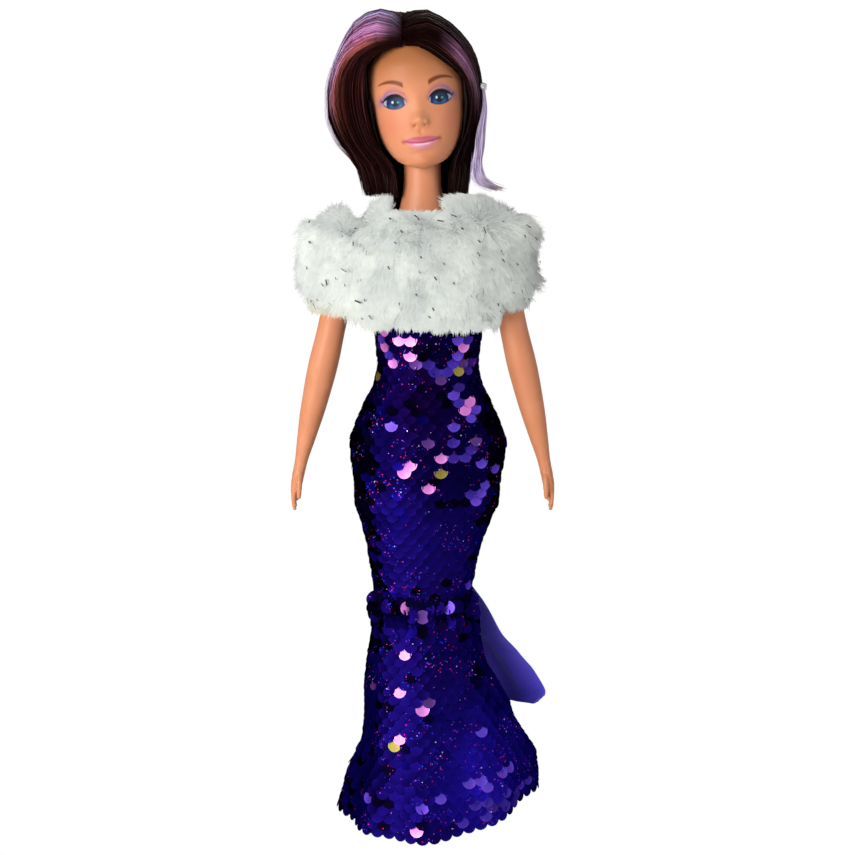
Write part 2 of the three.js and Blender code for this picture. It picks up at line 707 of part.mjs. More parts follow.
function buildArm(side, name) {
  const far = armTopX + armSlope * armLength + palmHalfThickness + overrun;
  const high = shoulderHeight + shoulderCapRadius + overrun;
  const rows = side > 0 ? armRows() : armRows().map(mirrored);
  const [bodyX0, bodyX1] = inOrder(-side * far, side * armInner);
  const [boreX0, boreX1] = inOrder(0, side * (armInner + pegSocketDepth));
  const arm = solidOf(loft(rows, limbSides))
    .subtract(blockBetween([bodyX0, -far, 0], [bodyX1, far, high]))
    .subtract(barAlongX(shoulderPegRadius + seatGap, boreX0, boreX1, 0, shoulderHeight));
  addPiece(`${name}_arm`, geometryOf(arm), vinyl);

  const flangeX = chamberInner + runningGap;
  const [shaftX0, shaftX1] = inOrder(side * flangeX, side * (armInner + pegSocketDepth - seatGap));
  const [flangeX0, flangeX1] = inOrder(side * flangeX, side * (flangeX + flangeThickness));
  const peg = barAlongX(shoulderPegRadius, shaftX0, shaftX1, 0, shoulderHeight).add(
    barAlongX(shoulderFlangeRadius, flangeX0, flangeX1, 0, shoulderHeight),
  );
  addPiece(`${name}_shoulder_peg`, geometryOf(peg), hardPlastic);
}

// The head, with its joint at the middle of its own frame
const headFrame = new THREE.Group();
headFrame.position.set(0, neckSetback, headPivotHeight);
headFrame.rotation.y = -THREE.MathUtils.degToRad(headLeanDegrees);
headFrame.updateMatrix();
doll.add(headFrame);

// How far one form of the face stands out at a place on the face.
function faceForm([heightShare, heightSpread, sideShare, sideSpread], height, side) {
  const up = (height / headHeight - heightShare) / heightSpread;
  const across = (Math.abs(side) / headHalfWidth - sideShare) / sideSpread;
  return Math.exp(-up * up - across * across);
}

function headSurface(growth, sides, stepsBetween, withFace) {
  const rows = headShares.map(([heightShare, widthShare, faceShare, skullShare]) => {
    const front = faceReach * faceShare;
    const back = skullReach * skullShare;
    const half = headHalfWidth * widthShare;
    const depth = (front + back) / 2;
    return [headHeight * heightShare, 0, (back - front) / 2, half, half, depth, depth];
  });
  const rings = smoothRows(rows, stepsBetween).map((row) => ovalRing(grown(row, growth), sides));
  for (const point of withFace ? rings.flat() : []) {
    if (point.y < 0) {
      const { x, z } = point;
      point.y -= noseReach * faceForm(noseTipShares, z, x);
      point.y -= noseReach * bridgeShare * faceForm(noseBridgeShares, z, x);
      point.y -= lipReach * faceForm(lipShares, z, x);
      point.y += eyeHollow * faceForm(eyeShares, z, x);
    }
  }
  const geometry = skin(rings);
  const stretch = (headHeight + 2 * growth) / headHeight;
  return geometry.translate(0, 0, -headHeight / 2).scale(1, 1, stretch).translate(0, 0, headHeight / 2 - chinDrop);
}

// The socket round the ball, its mouth, and the recess that the top of the neck stands in
function headSocket() {
  const radius = knobRadius + runningGap;
  const mouthAngle = Math.asin(socketMouthRadius / radius);
  const points = [];
  const arcSteps = 8;
  for (let k = 0; k <= arcSteps; k += 1) {
    const angle = (mouthAngle - Math.PI) * (k / arcSteps) + Math.PI;
    points.push(new THREE.Vector2(k === 0 ? 0 : radius * Math.sin(angle), -radius * Math.cos(angle)));
  }
  const ceiling = neckRecessDepth - knobRise;
  const below = -chinDrop - overrun;
  points.push(new THREE.Vector2(knobRadius, ceiling));
  points.push(new THREE.Vector2(neckRecessRadius, ceiling));
  points.push(new THREE.Vector2(neckRecessRadius, below));
  points.push(new THREE.Vector2(0, below));
  const socket = new THREE.LatheGeometry(points.reverse(), roundSides).rotateX(Math.PI / 2);
  return solidOf(socket);
}

function buildHead() {
  const hollow = new THREE.SphereGeometry(skullHollowRadius, roundSides, roundSides / 2);
  const hollowLift = knobRadius + skullHollowHeight / 2 - runningGap;
  hollow.rotateX(Math.PI / 2).scale(1, 1, skullHollowHeight / (2 * skullHollowRadius));
  const head = solidOf(headSurface(0, headSides, headSteps, true))
    .subtract(headSocket())
    .subtract(solidOf(hollow.translate(0, 0, hollowLift)));
  addPiece("head", geometryOf(head), vinyl, headFrame);
}

// The hair hangs straight, so it is placed by the head's joint but doesn't lean.
function hairVolume(shrinkage) {
  const total = hairDrop + hairRise;
  const drawnIn = 1 - shrinkage / hairRise;
  const rows = hairShares.map(([heightShare, right, left, front, back]) => {
    const rise = total * heightShare - hairDrop;
    const reaches = [hairRightReach * right, hairLeftReach * left, hairFrontReach * front, hairBackReach * back];
    return [
      headPivotHeight + (rise > 0 ? rise * drawnIn : rise),
      0,
      neckSetback,
      ...reaches.map((reach) => Math.max(reach - shrinkage, seatGap * (1 - shrinkage / hairRise))),
    ];
  });
  return solidOf(loft(rows, hairSides, hairSquareness));
}

function windowPoints() {
  return windowShares.map(([x, z]) => [headHalfWidth * x, headPivotHeight + headHeight * z]);
}

function buildHair() {
  const far = hairRightReach + hairBackReach + overrun;
  const low = headPivotHeight - hairDrop - overrun;
  const high = headPivotHeight + hairRise + overrun;
  const partX = headHalfWidth * partShare;
  const splitY = neckSetback + streakDepth / 2;
  const headGrown = headSurface(seatGap, headSides, headSteps, false).applyMatrix4(headFrame.matrix);
  const outside = hairVolume(0);
  const hair = outside
    .subtract(solidOf(headGrown))
    .subtract(barAlongZ(hairNeckRadius, low, headPivotHeight, 0, neckSetback))
    .subtract(slabAlongY(windowPoints(), -far, neckSetback - streakDepth));
  const back = blockBetween([-far, splitY + seatGap, low], [far, far, high]);
  const frontRight = blockBetween([-far, -far, low], [partX - seatGap / 2, splitY, high]);
  const frontLeft = blockBetween([partX + seatGap / 2, -far, low], [far, splitY, high]);
  const streakEdge = (drop) => [
    ...streakEdgeShares.map(([x, z]) => [headHalfWidth * x, headPivotHeight + headHeight * z - drop]),
    [-far, headPivotHeight + headHeight * streakEdgeShares.at(-1)[1] - drop],
    [-far, high],
    [partX, high],
  ];
  const streakSpace = slabAlongY(streakEdge(0).reverse(), -far, far);
  const streakRoom = slabAlongY(streakEdge(seatGap).reverse(), -far, far);
  const underStreak = hairVolume(streakDepth);
  const underRoom = hairVolume(streakDepth + seatGap);
  const right = hair.intersect(frontRight);
  addPiece("hair_back", geometryOf(hair.intersect(back)), darkHair);
  addPiece("hair_left", geometryOf(hair.intersect(frontLeft)), darkHair);
  addPiece("hair_right", geometryOf(largest(right.subtract(streakRoom.subtract(underRoom)))), darkHair);
  addPiece("hair_streak_right", geometryOf(largest(right.intersect(streakSpace).subtract(underStreak))), lilacHair);

  const points = lockShares.map(
    ([x, y, z]) =>
      new THREE.Vector3(hairLeftReach * x, neckSetback + hairFrontReach * y, headPivotHeight + hairDrop * z),
  );
  const lock = strand(points, lockRadiusShares.map((share) => lockRadius * share), lockSides, lockSteps);
  addPiece("hair_streak_left", lock, lilacHair);
  const [tieX, tieY, tieZ] = points[0].toArray();
  const tieInnerRadius = lockRadius + seatGap;
  const profile = [
    new THREE.Vector2(tieInnerRadius, -tieLength / 2),
    new THREE.Vector2(tieOuterRadius, -tieLength / 2),
    new THREE.Vector2(tieOuterRadius, tieLength / 2),
    new THREE.Vector2(tieInnerRadius, tieLength / 2),
    new THREE.Vector2(tieInnerRadius, -tieLength / 2),
  ];
  const tie = new THREE.LatheGeometry(profile, roundSides / 2).rotateX(Math.PI / 2);
  const alongLock = new THREE.Quaternion().setFromUnitVectors(
    new THREE.Vector3(0, 0, -1),
    points[1].clone().sub(points[0]).normalize(),
  );
  tie.translate(0, 0, -tieLength / 2 - seatGap).applyQuaternion(alongLock).translate(tieX, tieY, tieZ);
  addPiece("hair_tie", geometryOf(solidOf(tie)), clearPlastic);
}

// The biggest of the bodies that a cut leaves.
function largest(solid) {
  return solid.decompose().reduce((best, body) => (body.volume() > best.volume() ? body : best));
}

// The gown's inside, from the knee seam to the top edge: the body's reach and some ease
const gownTopHeight = bustHeight + gownTopAboveBust;
const legOuterAtKnee = legInner + 2 * kneeHalfWidth;
function gownRow(body, sideEase, frontEase, backEase, shift) {
  const [height, , , left, right, front, back] = body;
  return [height, 0, 0, left + sideEase - shift, right + sideEase + shift, front + frontEase, back + backEase];
}
const gownKneeRow = gownRow(
  evenRow(kneeHeight + seamGap / 2, legOuterAtKnee, kneeDepth, kneeDepth),
  kneeEase,
  gownDepthEase,
  gownDepthEase,
  0,
);
const gownHipRow = gownRow(hipRow, hipEase, gownDepthEase, gownDepthEase, gownShift);
const gownWaistRow = gownRow(waistRow, waistEase, gownDepthEase, closureRoom, gownShift);
const gownRibRow = gownRow(
  between(waistRow, bustRow, waistToBustShares[0]),
  ribEase,
  gownDepthEase,
  closureRoom,
  gownShift,
);
const gownBustRow = gownRow(bustRow, bustSideEase, gownTopEase, closureRoom, gownTopEase);
const gownTopRow = gownRow(rowAt(torsoRows, gownTopHeight), gownTopEase, gownTopEase, closureRoom, 0);
const gownRows = [
  gownKneeRow,
  ...kneeToHipGownShares.map((share) => between(gownKneeRow, gownHipRow, share)),
  gownHipRow,
  ...hipToWaistGownShares.map((share) => between(gownHipRow, gownWaistRow, share)),
  gownWaistRow,
  gownRibRow,
  gownBustRow,
  gownTopRow,
];
const rings = (rows, sides) => rows.map((row) => ovalRing(row, sides));

function buildGownBody() {
  const outer = rings(gownRows.map((row) => grown(row, clothWall)), gownSides);
  addPiece("dress_body", band(outer, rings(gownRows, gownSides)), sequins);
  const stripTop = gownTopHeight - seatGap;
  const stripSteps = 5;
  for (const [name, layer] of [["dress_hook_strip", 0], ["dress_loop_strip", 1]]) {
    const stripRings = [];
    for (let k = 0; k <= stripSteps; k += 1) {
      const height = stripTop - closureLength * (1 - k / stripSteps);
      const y0 = rowAt(torsoRows, height)[6] + seatGap + layer * (closureThickness + seatGap);
      const y1 = y0 + closureThickness;
      const corners = [[-1, y0], [1, y0], [1, y1], [-1, y1]];
      stripRings.push(corners.map(([side, y]) => new THREE.Vector3((side * closureWidth) / 2, y, height)));
    }
    addPiece(name, skin(stripRings), tape);
  }
}

// The flounce's outside at a share of its height, round from the front
const flounceTop = kneeHeight - seamGap / 2;
const flounceTopRow = grown([flounceTop, ...gownKneeRow.slice(1)], clothWall);
const hemReaches = [hemRightReach, hemLeftReach, hemFrontReach, hemBackReach];
const flounceRow = ([heightShare, ...shares]) => [
  flounceTop * heightShare,
  0,
  0,
  ...flounceTopRow.slice(3).map((reach, k) => reach + (hemReaches[k] - reach) * shares[k]),
];
const flounceRows = flounceShares.map(flounceRow).reverse();

// How high the hem is lifted at an angle from the front, in radians towards the doll's left.
function liftAt(angle) {
  const turn = angle - THREE.MathUtils.degToRad(hemLiftMiddleDegrees);
  const nearest = Math.acos(Math.cos(turn));
  const off = nearest / THREE.MathUtils.degToRad(hemLiftSpreadDegrees);
  return off < 1 ? (hemLift * (1 + Math.cos(Math.PI * off))) / 2 : 0;
}

function flounceRing(row, inset) {
  const heightShare = row[0] / flounceTop;
  const ring = ovalRing(grown(row, -inset), flounceSides);
  ring.forEach((point, i) => {
    const angle = (2 * Math.PI * i) / flounceSides;
    const fold = foldDepth * (1 - heightShare) ** foldGrowth * Math.cos(foldCount * angle);
    const reach = Math.hypot(point.x, point.y);
    point.x *= 1 + fold / reach;
    point.y *= 1 + fold / reach;
    point.z += liftAt(angle) * (1 - heightShare) ** hemLiftGrowth;
  });
  return ring;
}

function buildFlounce() {
  const outer = flounceRows.map((row) => flounceRing(row, 0));
  const inner = flounceRows.map((row) => flounceRing(row, clothWall));
  addPiece("dress_flounce", band(outer, inner), sequins);
}

// The train hangs from the knee seam outside the flounce, behind its left side, and stands off below.
function buildTrain() {
  const trainRings = trainShares.map(([dropShare, flareShare]) => {
    const height = flounceTop - seatGap - trainDrop * dropShare;
    const row = rowAt(flounceRows, height);
    const outerSide = [];
    const innerSide = [];
    for (let j = 0; j <= trainAcross; j += 1) {
      const share = j / trainAcross;
      const angle = THREE.MathUtils.degToRad(THREE.MathUtils.lerp(trainStartDegrees, trainEndDegrees, share));
      const foldRoom = foldDepth * (1 - height / flounceTop) + seatGap;
      const standOff = foldRoom + trainFlare * flareShare * (1 - share) ** trainFlareGrowth;
      const place = (offset) =>
        new THREE.Vector3(
          (row[4] + standOff + offset) * Math.sin(angle),
          -(row[6] + standOff + offset) * Math.cos(angle),
          height,
        );
      innerSide.push(place(0));
      outerSide.push(place(trainThickness));
    }
    return [...outerSide, ...innerSide.reverse()];
  });
  addPiece("dress_train", skin(trainRings.reverse()), satin);
}

// The stole: a closed band of fur over a satin lining, round the shoulders and upper arms
const stoleTop = neckBaseHeight + stoleAboveNeckBase;
const stoleBottom = stoleTop - stoleHeight;
const armReachAt = (height) => armX(height) + rowAt(armRows(), height)[3];
function stoleInside(extra) {
  const low = [stoleBottom, bustHeight, gownTopHeight].map((height) => {
    const gown = rowAt(gownRows, height);
    const half = armReachAt(height) + stoleEase;
    const cover = clothWall + stoleEase;
    return grown([height, 0, 0, half, half, gown[5] + cover, gown[6] + cover], extra);
  });
  const shoulderHalf = armReachAt(shoulderHeight) + stoleEase;
  const shoulder = evenRow(shoulderHeight, shoulderHalf, armpitFront, armpitBack + stoleEase);
  const opening = roundNeckRow(stoleTop, neckRadius + stoleNeckEase);
  const yoke = yokeShares.map((share) => {
    const [height, ...rest] = grown(between(shoulder, opening, share), extra);
    return [height + yokeRise * extra * share[0] * (1 - share[0]), ...rest];
  });
  return [...low, ...yoke];
}

function buildStole() {
  const outside = stoleShares.map(([heightShare, half, front, back]) => [
    stoleBottom + stoleHeight * heightShare,
    -stoleShift,
    0,
    stoleHalfWidth * half,
    stoleHalfWidth * half,
    stoleFront * front,
    stoleBack * back,
  ]);
  const gap = seatGap;
  const lining = band(rings(stoleInside(gap + liningThickness), stoleSides), rings(stoleInside(gap), stoleSides));
  addPiece("stole_lining", lining, liningSatin);
  const inside = rings(stoleInside(furStandOff + liningThickness), stoleSides);
  addPiece("stole_fur", band(rings(outside, stoleSides), inside), fur);
}

buildTorso();
buildNeckKnob();
buildHead();
buildHair();
for (const [side, name] of [[1, "left"], [-1, "right"]]) {
  buildArm(side, name);
  buildLeg(side, name);
}
buildGownBody();
buildFlounce();
buildTrain();
buildStole();

export default doll;
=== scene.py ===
"""A 29 cm fashion doll in a sequined mermaid gown and a fur stole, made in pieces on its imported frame."""

import math

import bpy
import numpy as np
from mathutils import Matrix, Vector, kdtree, noise


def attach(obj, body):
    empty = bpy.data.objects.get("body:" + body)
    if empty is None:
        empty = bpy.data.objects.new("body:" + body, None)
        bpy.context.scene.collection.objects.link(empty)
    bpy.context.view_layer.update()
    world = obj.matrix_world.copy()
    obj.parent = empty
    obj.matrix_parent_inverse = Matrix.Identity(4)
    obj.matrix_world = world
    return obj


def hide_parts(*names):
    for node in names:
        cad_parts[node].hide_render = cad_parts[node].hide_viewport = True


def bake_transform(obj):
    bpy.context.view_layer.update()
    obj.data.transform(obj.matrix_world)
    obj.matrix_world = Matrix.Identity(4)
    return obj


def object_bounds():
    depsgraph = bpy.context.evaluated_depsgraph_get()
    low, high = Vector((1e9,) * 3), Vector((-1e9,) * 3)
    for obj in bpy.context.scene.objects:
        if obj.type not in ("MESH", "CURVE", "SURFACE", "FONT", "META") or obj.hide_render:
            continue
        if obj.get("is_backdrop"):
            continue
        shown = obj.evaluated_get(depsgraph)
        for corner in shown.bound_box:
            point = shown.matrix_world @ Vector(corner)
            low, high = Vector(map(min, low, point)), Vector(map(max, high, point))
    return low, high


bl_info = {
    "name": "Fashion doll in a sequined gown",
    "version": (1, 0, 0),
    "blender": (4, 5, 0),
    "location": "3D View > Sidebar > Doll",
    "description": "Makes the doll's head, hair, limbs, gown and stole on its packed frame",
    "category": "Object",
}

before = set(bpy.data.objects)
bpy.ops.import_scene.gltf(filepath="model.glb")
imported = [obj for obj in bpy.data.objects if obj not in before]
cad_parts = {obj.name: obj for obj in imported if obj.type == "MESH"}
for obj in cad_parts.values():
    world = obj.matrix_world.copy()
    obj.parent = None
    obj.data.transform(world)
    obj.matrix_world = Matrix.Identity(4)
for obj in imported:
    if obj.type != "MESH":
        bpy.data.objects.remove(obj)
CAD_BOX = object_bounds()
MM = 0.001

# Heights and other driving sizes, in millimetres
HEEL_RISE = 14
KNEE = 84
HIP = 139
WAIST = 168
BUST = 192
ARMPIT = 199.5
SHOULDER = 207
NECK_BASE = 222
NECK_TOP = 238
NECK_RADIUS = 6.9
NECK_SETBACK = 2.2
HEAD_JOINT = np.array([0, NECK_SETBACK, 244.5])
HEAD_LEAN = math.radians(6.5)
HEAD_HEIGHT = 46.6
CHIN_DROP = 8.1
HIP_DRUM_RADIUS = 12.6
CROTCH_BLOCK_RADIUS = 11.6
LEG_INNER = 0.4
THIGH_INNER = 4.3
SOLE = 1.5
FOOT_X = 6.2
FOOT_LENGTH = 24
FOOT_HALF_WIDTH = 4.6
ARM_X = 25.936
ARM_SLOPE = math.tan(math.radians(13.4))
CLOTH = 1.6
KNEE_SEAM = KNEE - 0.15
GOWN_TOP = BUST + 5
STOLE_TOP = NECK_BASE + 2.4
STOLE_HEIGHT = 40.4
STOLE_SHIFT = 1.2
STOLE_ROOM = 1.2
HAIR_DROP = 18
HAIR_HEIGHT = 63.6
HAIR_REACHES = np.array([33.2, 21, 15.4, 22.4])


# Sections

# A section is a row: [height, x, y, reach right, reach left, reach front, reach back], with right and left
# as the doll's own. Where sections lie between two others, each has a (height share, size share).


def rounded(rows, places=2):
    """Sections from the bottom up, to a hundredth of a millimetre or less."""
    return np.round(np.array([np.asarray(row, float) for row in rows]), places)


def even_row(height, half, front, back, y=0):
    """A section as wide on both sides of the doll's middle."""
    return np.array([height, 0, y, half, half, front, back])


def neck_row(height, half, depth):
    """A section of the neck, which stands a little back."""
    return even_row(height, half, depth, depth, NECK_SETBACK)


def between(lower, upper, *shares):
    """Sections between two others."""
    return [lower + (upper - lower) * np.array([up] + [size] * 6) for up, size in shares]


def row_at(rows, height):
    """The section at a height, on straight lines between the given ones."""
    return np.array([height, *(np.interp(height, rows[:, 0], column) for column in rows.T[1:])])


def leg_row(height, inner, half, front, back):
    """A section of the left leg, from how far its inner side is from the doll's middle."""
    return np.array([height, inner + half, 0, half, half, front, back])


def foot_row(up, y, wide, front, back):
    """A section of the left foot, in shares of its rise, length, half-width, length and length."""
    half = FOOT_HALF_WIDTH * wide
    rise = SOLE + (HEEL_RISE - SOLE) * up
    return np.array([rise, FOOT_X, FOOT_LENGTH * y, half, half, FOOT_LENGTH * front, FOOT_LENGTH * back])


def with_middles(rows):
    """The rows from the second on, and between each two the middle of a smooth curve through them all."""
    rows = [*rows, rows[-1]]
    result = []
    for k in range(1, len(rows) - 2):
        result += [rows[k], (9 * (rows[k] + rows[k + 1]) - rows[k - 1] - rows[k + 2]) / 16]
    return [*result, rows[-1]]


def arm_x(height):
    """How far the left arm's middle is from the doll's, straight up above the shoulder's joint."""
    return ARM_X + ARM_SLOPE * max(SHOULDER - height, 0)


def dressed(row, side_ease, front_ease, back_ease, shift):
    """The gown's outside round a section of the body, shifted towards the doll's left."""
    ease = [side_ease - shift, side_ease + shift, front_ease, back_ease]
    return np.array([row[0], 0, 0, *(row[3:] + ease + CLOTH)])


HIP_ROW = even_row(HIP, 20.4, 12.2, 13)
WAIST_ROW = even_row(WAIST, 13.6, 10, 9.2)
BUST_ROW = even_row(BUST, 17.6, 16.2, 10.2)
ARMPIT_ROW = even_row(ARMPIT, 18.8, 12.6, 10.2)
SHOULDER_ROW = even_row(SHOULDER, 23, 8.4, 9)
RIB_ROW = between(WAIST_ROW, BUST_ROW, (0.46, 0.27))[0]
TORSO = rounded([
    [HIP - CROTCH_BLOCK_RADIUS, 0, 0, *(0.62 * HIP_ROW[3:])],
    HIP_ROW,
    *between(HIP_ROW, WAIST_ROW, (0.25, 0.17), (0.5, 0.52), (0.75, 0.88)),
    WAIST_ROW,
    RIB_ROW,
    BUST_ROW,
    ARMPIT_ROW,
    SHOULDER_ROW,
    *between(SHOULDER_ROW, neck_row(NECK_BASE, NECK_RADIUS, NECK_RADIUS), (0.33, 0.08), (0.53, 0.36)),
    [218.55, 0, 1.69, 11.2, 11.2, 7.25, 7.38],
    neck_row(NECK_BASE, 8.5, NECK_RADIUS),
    neck_row(226.5, 7.3, 6.8),
    neck_row(231, 6.6, 6.8),
    neck_row(NECK_TOP, 6.5, 6.8),
])
FOOT = [
    foot_row(0, -0.42, 0.76, 0.19, 0.2),
    foot_row(0.27, -0.38, 0.95, 0.21, 0.27),
    foot_row(0.6, -0.22, 0.9, 0.23, 0.29),
    foot_row(1, 0, 0.78, 0.22, 0.3),
    foot_row(1.28, 0.08, 0.74, 0.19, 0.22),
]
ANKLE_ROW = np.array([23, FOOT_X, 1.8, 3.6, 3.6, 3.6, 3.6])
LEG_ROWS = [
    leg_row(56, LEG_INNER, 6.5, 7.6, 7.6),
    leg_row(KNEE, LEG_INNER, 6.6, 7.4, 7.4),
    leg_row(111.5, LEG_INNER, 9.6, 9.8, 9.8),
    leg_row(HIP, THIGH_INNER, 8.05, 10.8, 11.8),
]
THIGH_TOP = row_at(TORSO, HIP + HIP_DRUM_RADIUS)
LEG = rounded([
    *FOOT,
    *with_middles([FOOT[-1], ANKLE_ROW, *LEG_ROWS]),
    leg_row(THIGH_TOP[0], THIGH_INNER, (THIGH_TOP[3] - THIGH_INNER) / 2, THIGH_TOP[5], THIGH_TOP[6]),
])
# The arm from the wrist up: (height, radius across, radius along)
ARM_RADII = [
    (126.6, 2.2, 2.9), (131.2, 2.35, 2.55), (139.32, 3.3, 3.3), (152.48, 4.7, 4.7), (167.52, 5.4, 5.4),
    (180.68, 5.06, 5.06), (195.72, 5.61, 5.61), (SHOULDER, 6.4, 6.4), (211.7, 5.38, 5.38), (214.05, 3.2, 3.2),
]
ARM = rounded([height, arm_x(height), 0, across, across, along, along] for height, across, along in ARM_RADII)
KNEE_ROW = dressed(even_row(KNEE + 0.15, 13.6, 7.4, 7.4), 2.9, 3.6, 3.6, 0)
GOWN_HIP_ROW = dressed(HIP_ROW, 6.2, 3.6, 3.6, 1.9)
GOWN_WAIST_ROW = dressed(WAIST_ROW, 3, 3.6, 2.8, 1.9)
GOWN = rounded([
    KNEE_ROW,
    *between(
        KNEE_ROW, GOWN_HIP_ROW, (0.18, 0.15), (0.33, 0.33), (0.47, 0.57), (0.6, 0.8), (0.73, 0.84), (0.87, 0.95)
    ),
    GOWN_HIP_ROW,
    *between(GOWN_HIP_ROW, GOWN_WAIST_ROW, (0.2, 0.17), (0.52, 0.57), (0.76, 0.89)),
    GOWN_WAIST_ROW,
    dressed(RIB_ROW, 2.9, 3.6, 2.8, 1.9),
    dressed(BUST_ROW, 1, 0.5, 2.8, 0.5),
    dressed(row_at(TORSO, GOWN_TOP), 0.5, 0.5, 2.8, 0),
])
# The flounce from its hem up: (height share, then for right, left, front and back the share of the hem's
# reach)
FLOUNCE_SHARES = [
    (0, 1, 1, 1, 1),
    (0.095, 0.85, 1, 0.95, 0.96),
    (0.202, 0.66, 0.96, 0.84, 0.86),
    (0.286, 0.38, 0.82, 0.7, 0.74),
    (0.381, 0.28, 0.65, 0.58, 0.62),
    (0.476, 0.25, 0.54, 0.47, 0.5),
    (0.571, 0.26, 0.38, 0.36, 0.38),
    (0.667, 0.2, 0.21, 0.25, 0.26),
    (0.845, 0.06, 0.1, 0.12, 0.13),
    (0.94, 0.07, 0.03, 0.05, 0.05),
    (1, 0, 0, 0, 0),
]
HEM_REACHES = np.array([31.2, 42.4, 36.2, 36])
FLOUNCE = rounded(
    [KNEE_SEAM * up, 0, 0, *(KNEE_ROW[3:] + (HEM_REACHES - KNEE_ROW[3:]) * shares)]
    for up, *shares in FLOUNCE_SHARES
)
# The head from the chin up: (height share, half-width share, face's reach share, skull's reach share)
HEAD = [
    (0, 0.12, 0.76, -0.5),
    (0.026, 0.35, 0.86, -0.25),
    (0.064, 0.54, 0.91, 0.42),
    (0.129, 0.7, 0.93, 0.62),
    (0.215, 0.82, 0.945, 0.76),
    (0.34, 0.91, 0.965, 0.9),
    (0.485, 0.97, 0.965, 0.985),
    (0.6, 1, 0.985, 1),
    (0.73, 0.965, 0.945, 0.955),
    (0.86, 0.8, 0.75, 0.775),
    (0.945, 0.53, 0.49, 0.51),
    (1, 0.14, 0.14, 0.14),
]
# The hair's outside from its ends up: (height share, then right, left, front and back as shares of its
# reaches)
HAIR_SHARES = [
    (0, 0.6, 0.68, 0.39, 0.82),
    (0.168, 0.68, 0.82, 0.55, 0.94),
    (0.246, 0.81, 0.9, 0.62, 0.98),
    (0.356, 0.93, 0.96, 0.7, 1),
    (0.497, 1, 1, 0.8, 1),
    (0.67, 0.943, 0.94, 0.95, 0.985),
    (0.763, 0.873, 0.86, 1, 0.93),
    (0.842, 0.783, 0.7, 0.97, 0.8),
    (0.931, 0.627, 0.44, 0.74, 0.56),
    (0.983, 0.39, 0.14, 0.4, 0.3),
    (1, 0.22, 0.02, 0.14, 0.1),
]
HAIR = rounded(
    [HEAD_JOINT[2] - HAIR_DROP + HAIR_HEIGHT * up, 0, NECK_SETBACK, *(HAIR_REACHES * shares)]
    for up, *shares in HAIR_SHARES
)
# The stole's outside from its lower edge up: (height share, half-width, front reach, back reach)
STOLE_SHARES = [
    (0, 0.945, 0.86, 0.84),
    (0.09, 0.975, 0.93, 0.92),
    (0.23, 1, 0.99, 0.98),
    (0.42, 1, 1, 1),
    (0.6, 0.985, 0.95, 0.98),
    (0.71, 0.95, 0.87, 0.94),
    (0.8, 0.89, 0.77, 0.86),
    (0.88, 0.8, 0.66, 0.77),
    (0.955, 0.67, 0.53, 0.67),
    (1, 0.44, 0.43, 0.58),
]
STOLE_BOTTOM = STOLE_TOP - STOLE_HEIGHT
STOLE_OUTSIDE = rounded(
    ([STOLE_BOTTOM + STOLE_HEIGHT * up, -STOLE_SHIFT, 0, 43.8 * half, 43.8 * half, 27.4 * front, 23.6 * back]
     for up, half, front, back in STOLE_SHARES),
    1,
)


def stole_inside():
    """The stole's inside: over the gown and the arms up to the shoulders, then in to the neck."""
    rows = []
    for height in (STOLE_BOTTOM, BUST, GOWN_TOP):
        gown = row_at(GOWN, height) + STOLE_ROOM
        rows.append(even_row(height, arm_x(height) + row_at(ARM, height)[3] + STOLE_ROOM, *gown[5:]))
    shoulder = even_row(SHOULDER, ARM_X + 6.4 + STOLE_ROOM, 12.9, 11.4)
    opening = neck_row(STOLE_TOP, 10.4, 10.4)
    for up, size in ((0, 0), (0.28, 0.02), (0.42, 0.13), (0.54, 0.38), (0.69, 0.74), (0.88, 0.94), (1, 1)):
        rows += between(shoulder, opening, (up, size))
        rows[-1][0] += STOLE_ROOM * up * (1 - up)
    return rounded(rows)


STOLE_INSIDE = stole_inside()

# The edges of the face's opening in the hair, from the parting down: [x, height]
RIGHT_EDGE = [
    [-6.6, 276.7], [-11.8, 275.8], [-16.2, 273.6], [-19.3, 269.6], [-19.2, 259], [-18, 251.5], [-15.2, 243.4],
    [-11.4, 238.8], [-9.4, 235.2], [-9.2, 226],
]
LEFT_EDGE = [
    [-5.6, 276.9], [-1.7, 277], [2.2, 275], [7.9, 271.3], [12.5, 268], [15.2, 264.8], [16.4, 259.7],
    [16.2, 253.3], [14.9, 248.2], [11.6, 242], [9.8, 236.1], [9.6, 226],
]
# The pale lock from its tie down to the flick at its end, as shares of the hair's left reach, front reach
# and drop
LOCK_SHARES = [
    (1.06, -0.02, 1.14), (1.085, -0.08, 0.72), (1, -0.2, 0.1), (0.95, -0.35, -0.4), (0.97, -0.42, -0.64),
    (1.1, -0.45, -0.8), (1.26, -0.45, -0.86),
]
LOCK = rounded(HEAD_JOINT + np.array([*HAIR_REACHES[1:3], HAIR_DROP]) * shares for shares in LOCK_SHARES)


# Sizes and colours that a user can change


def hex_colour(text):
    """A colour written as #rrggbb, as the linear values that Blender uses."""
    values = [int(text[k : k + 2], 16) / 255 for k in (1, 3, 5)]
    return (*(v / 12.92 if v <= 0.04045 else ((v + 0.055) / 1.055) ** 2.4 for v in values), 1.0)


def length(name, description, default):
    """A size in metres that shows in the scene's unit, from a default in millimetres."""
    return bpy.props.FloatProperty(
        name=name, description=description, default=default * MM, min=0, unit="LENGTH", subtype="DISTANCE"
    )


def colour(name, description, text):
    """A colour, from a default written as #rrggbb."""
    return bpy.props.FloatVectorProperty(
        name=name, description=description, default=hex_colour(text), size=4, min=0, max=1, subtype="COLOR"
    )


def share(name, description, default):
    """A share from 0 to 1."""
    return bpy.props.FloatProperty(
        name=name, description=description, default=default, min=0, max=1, subtype="FACTOR"
    )


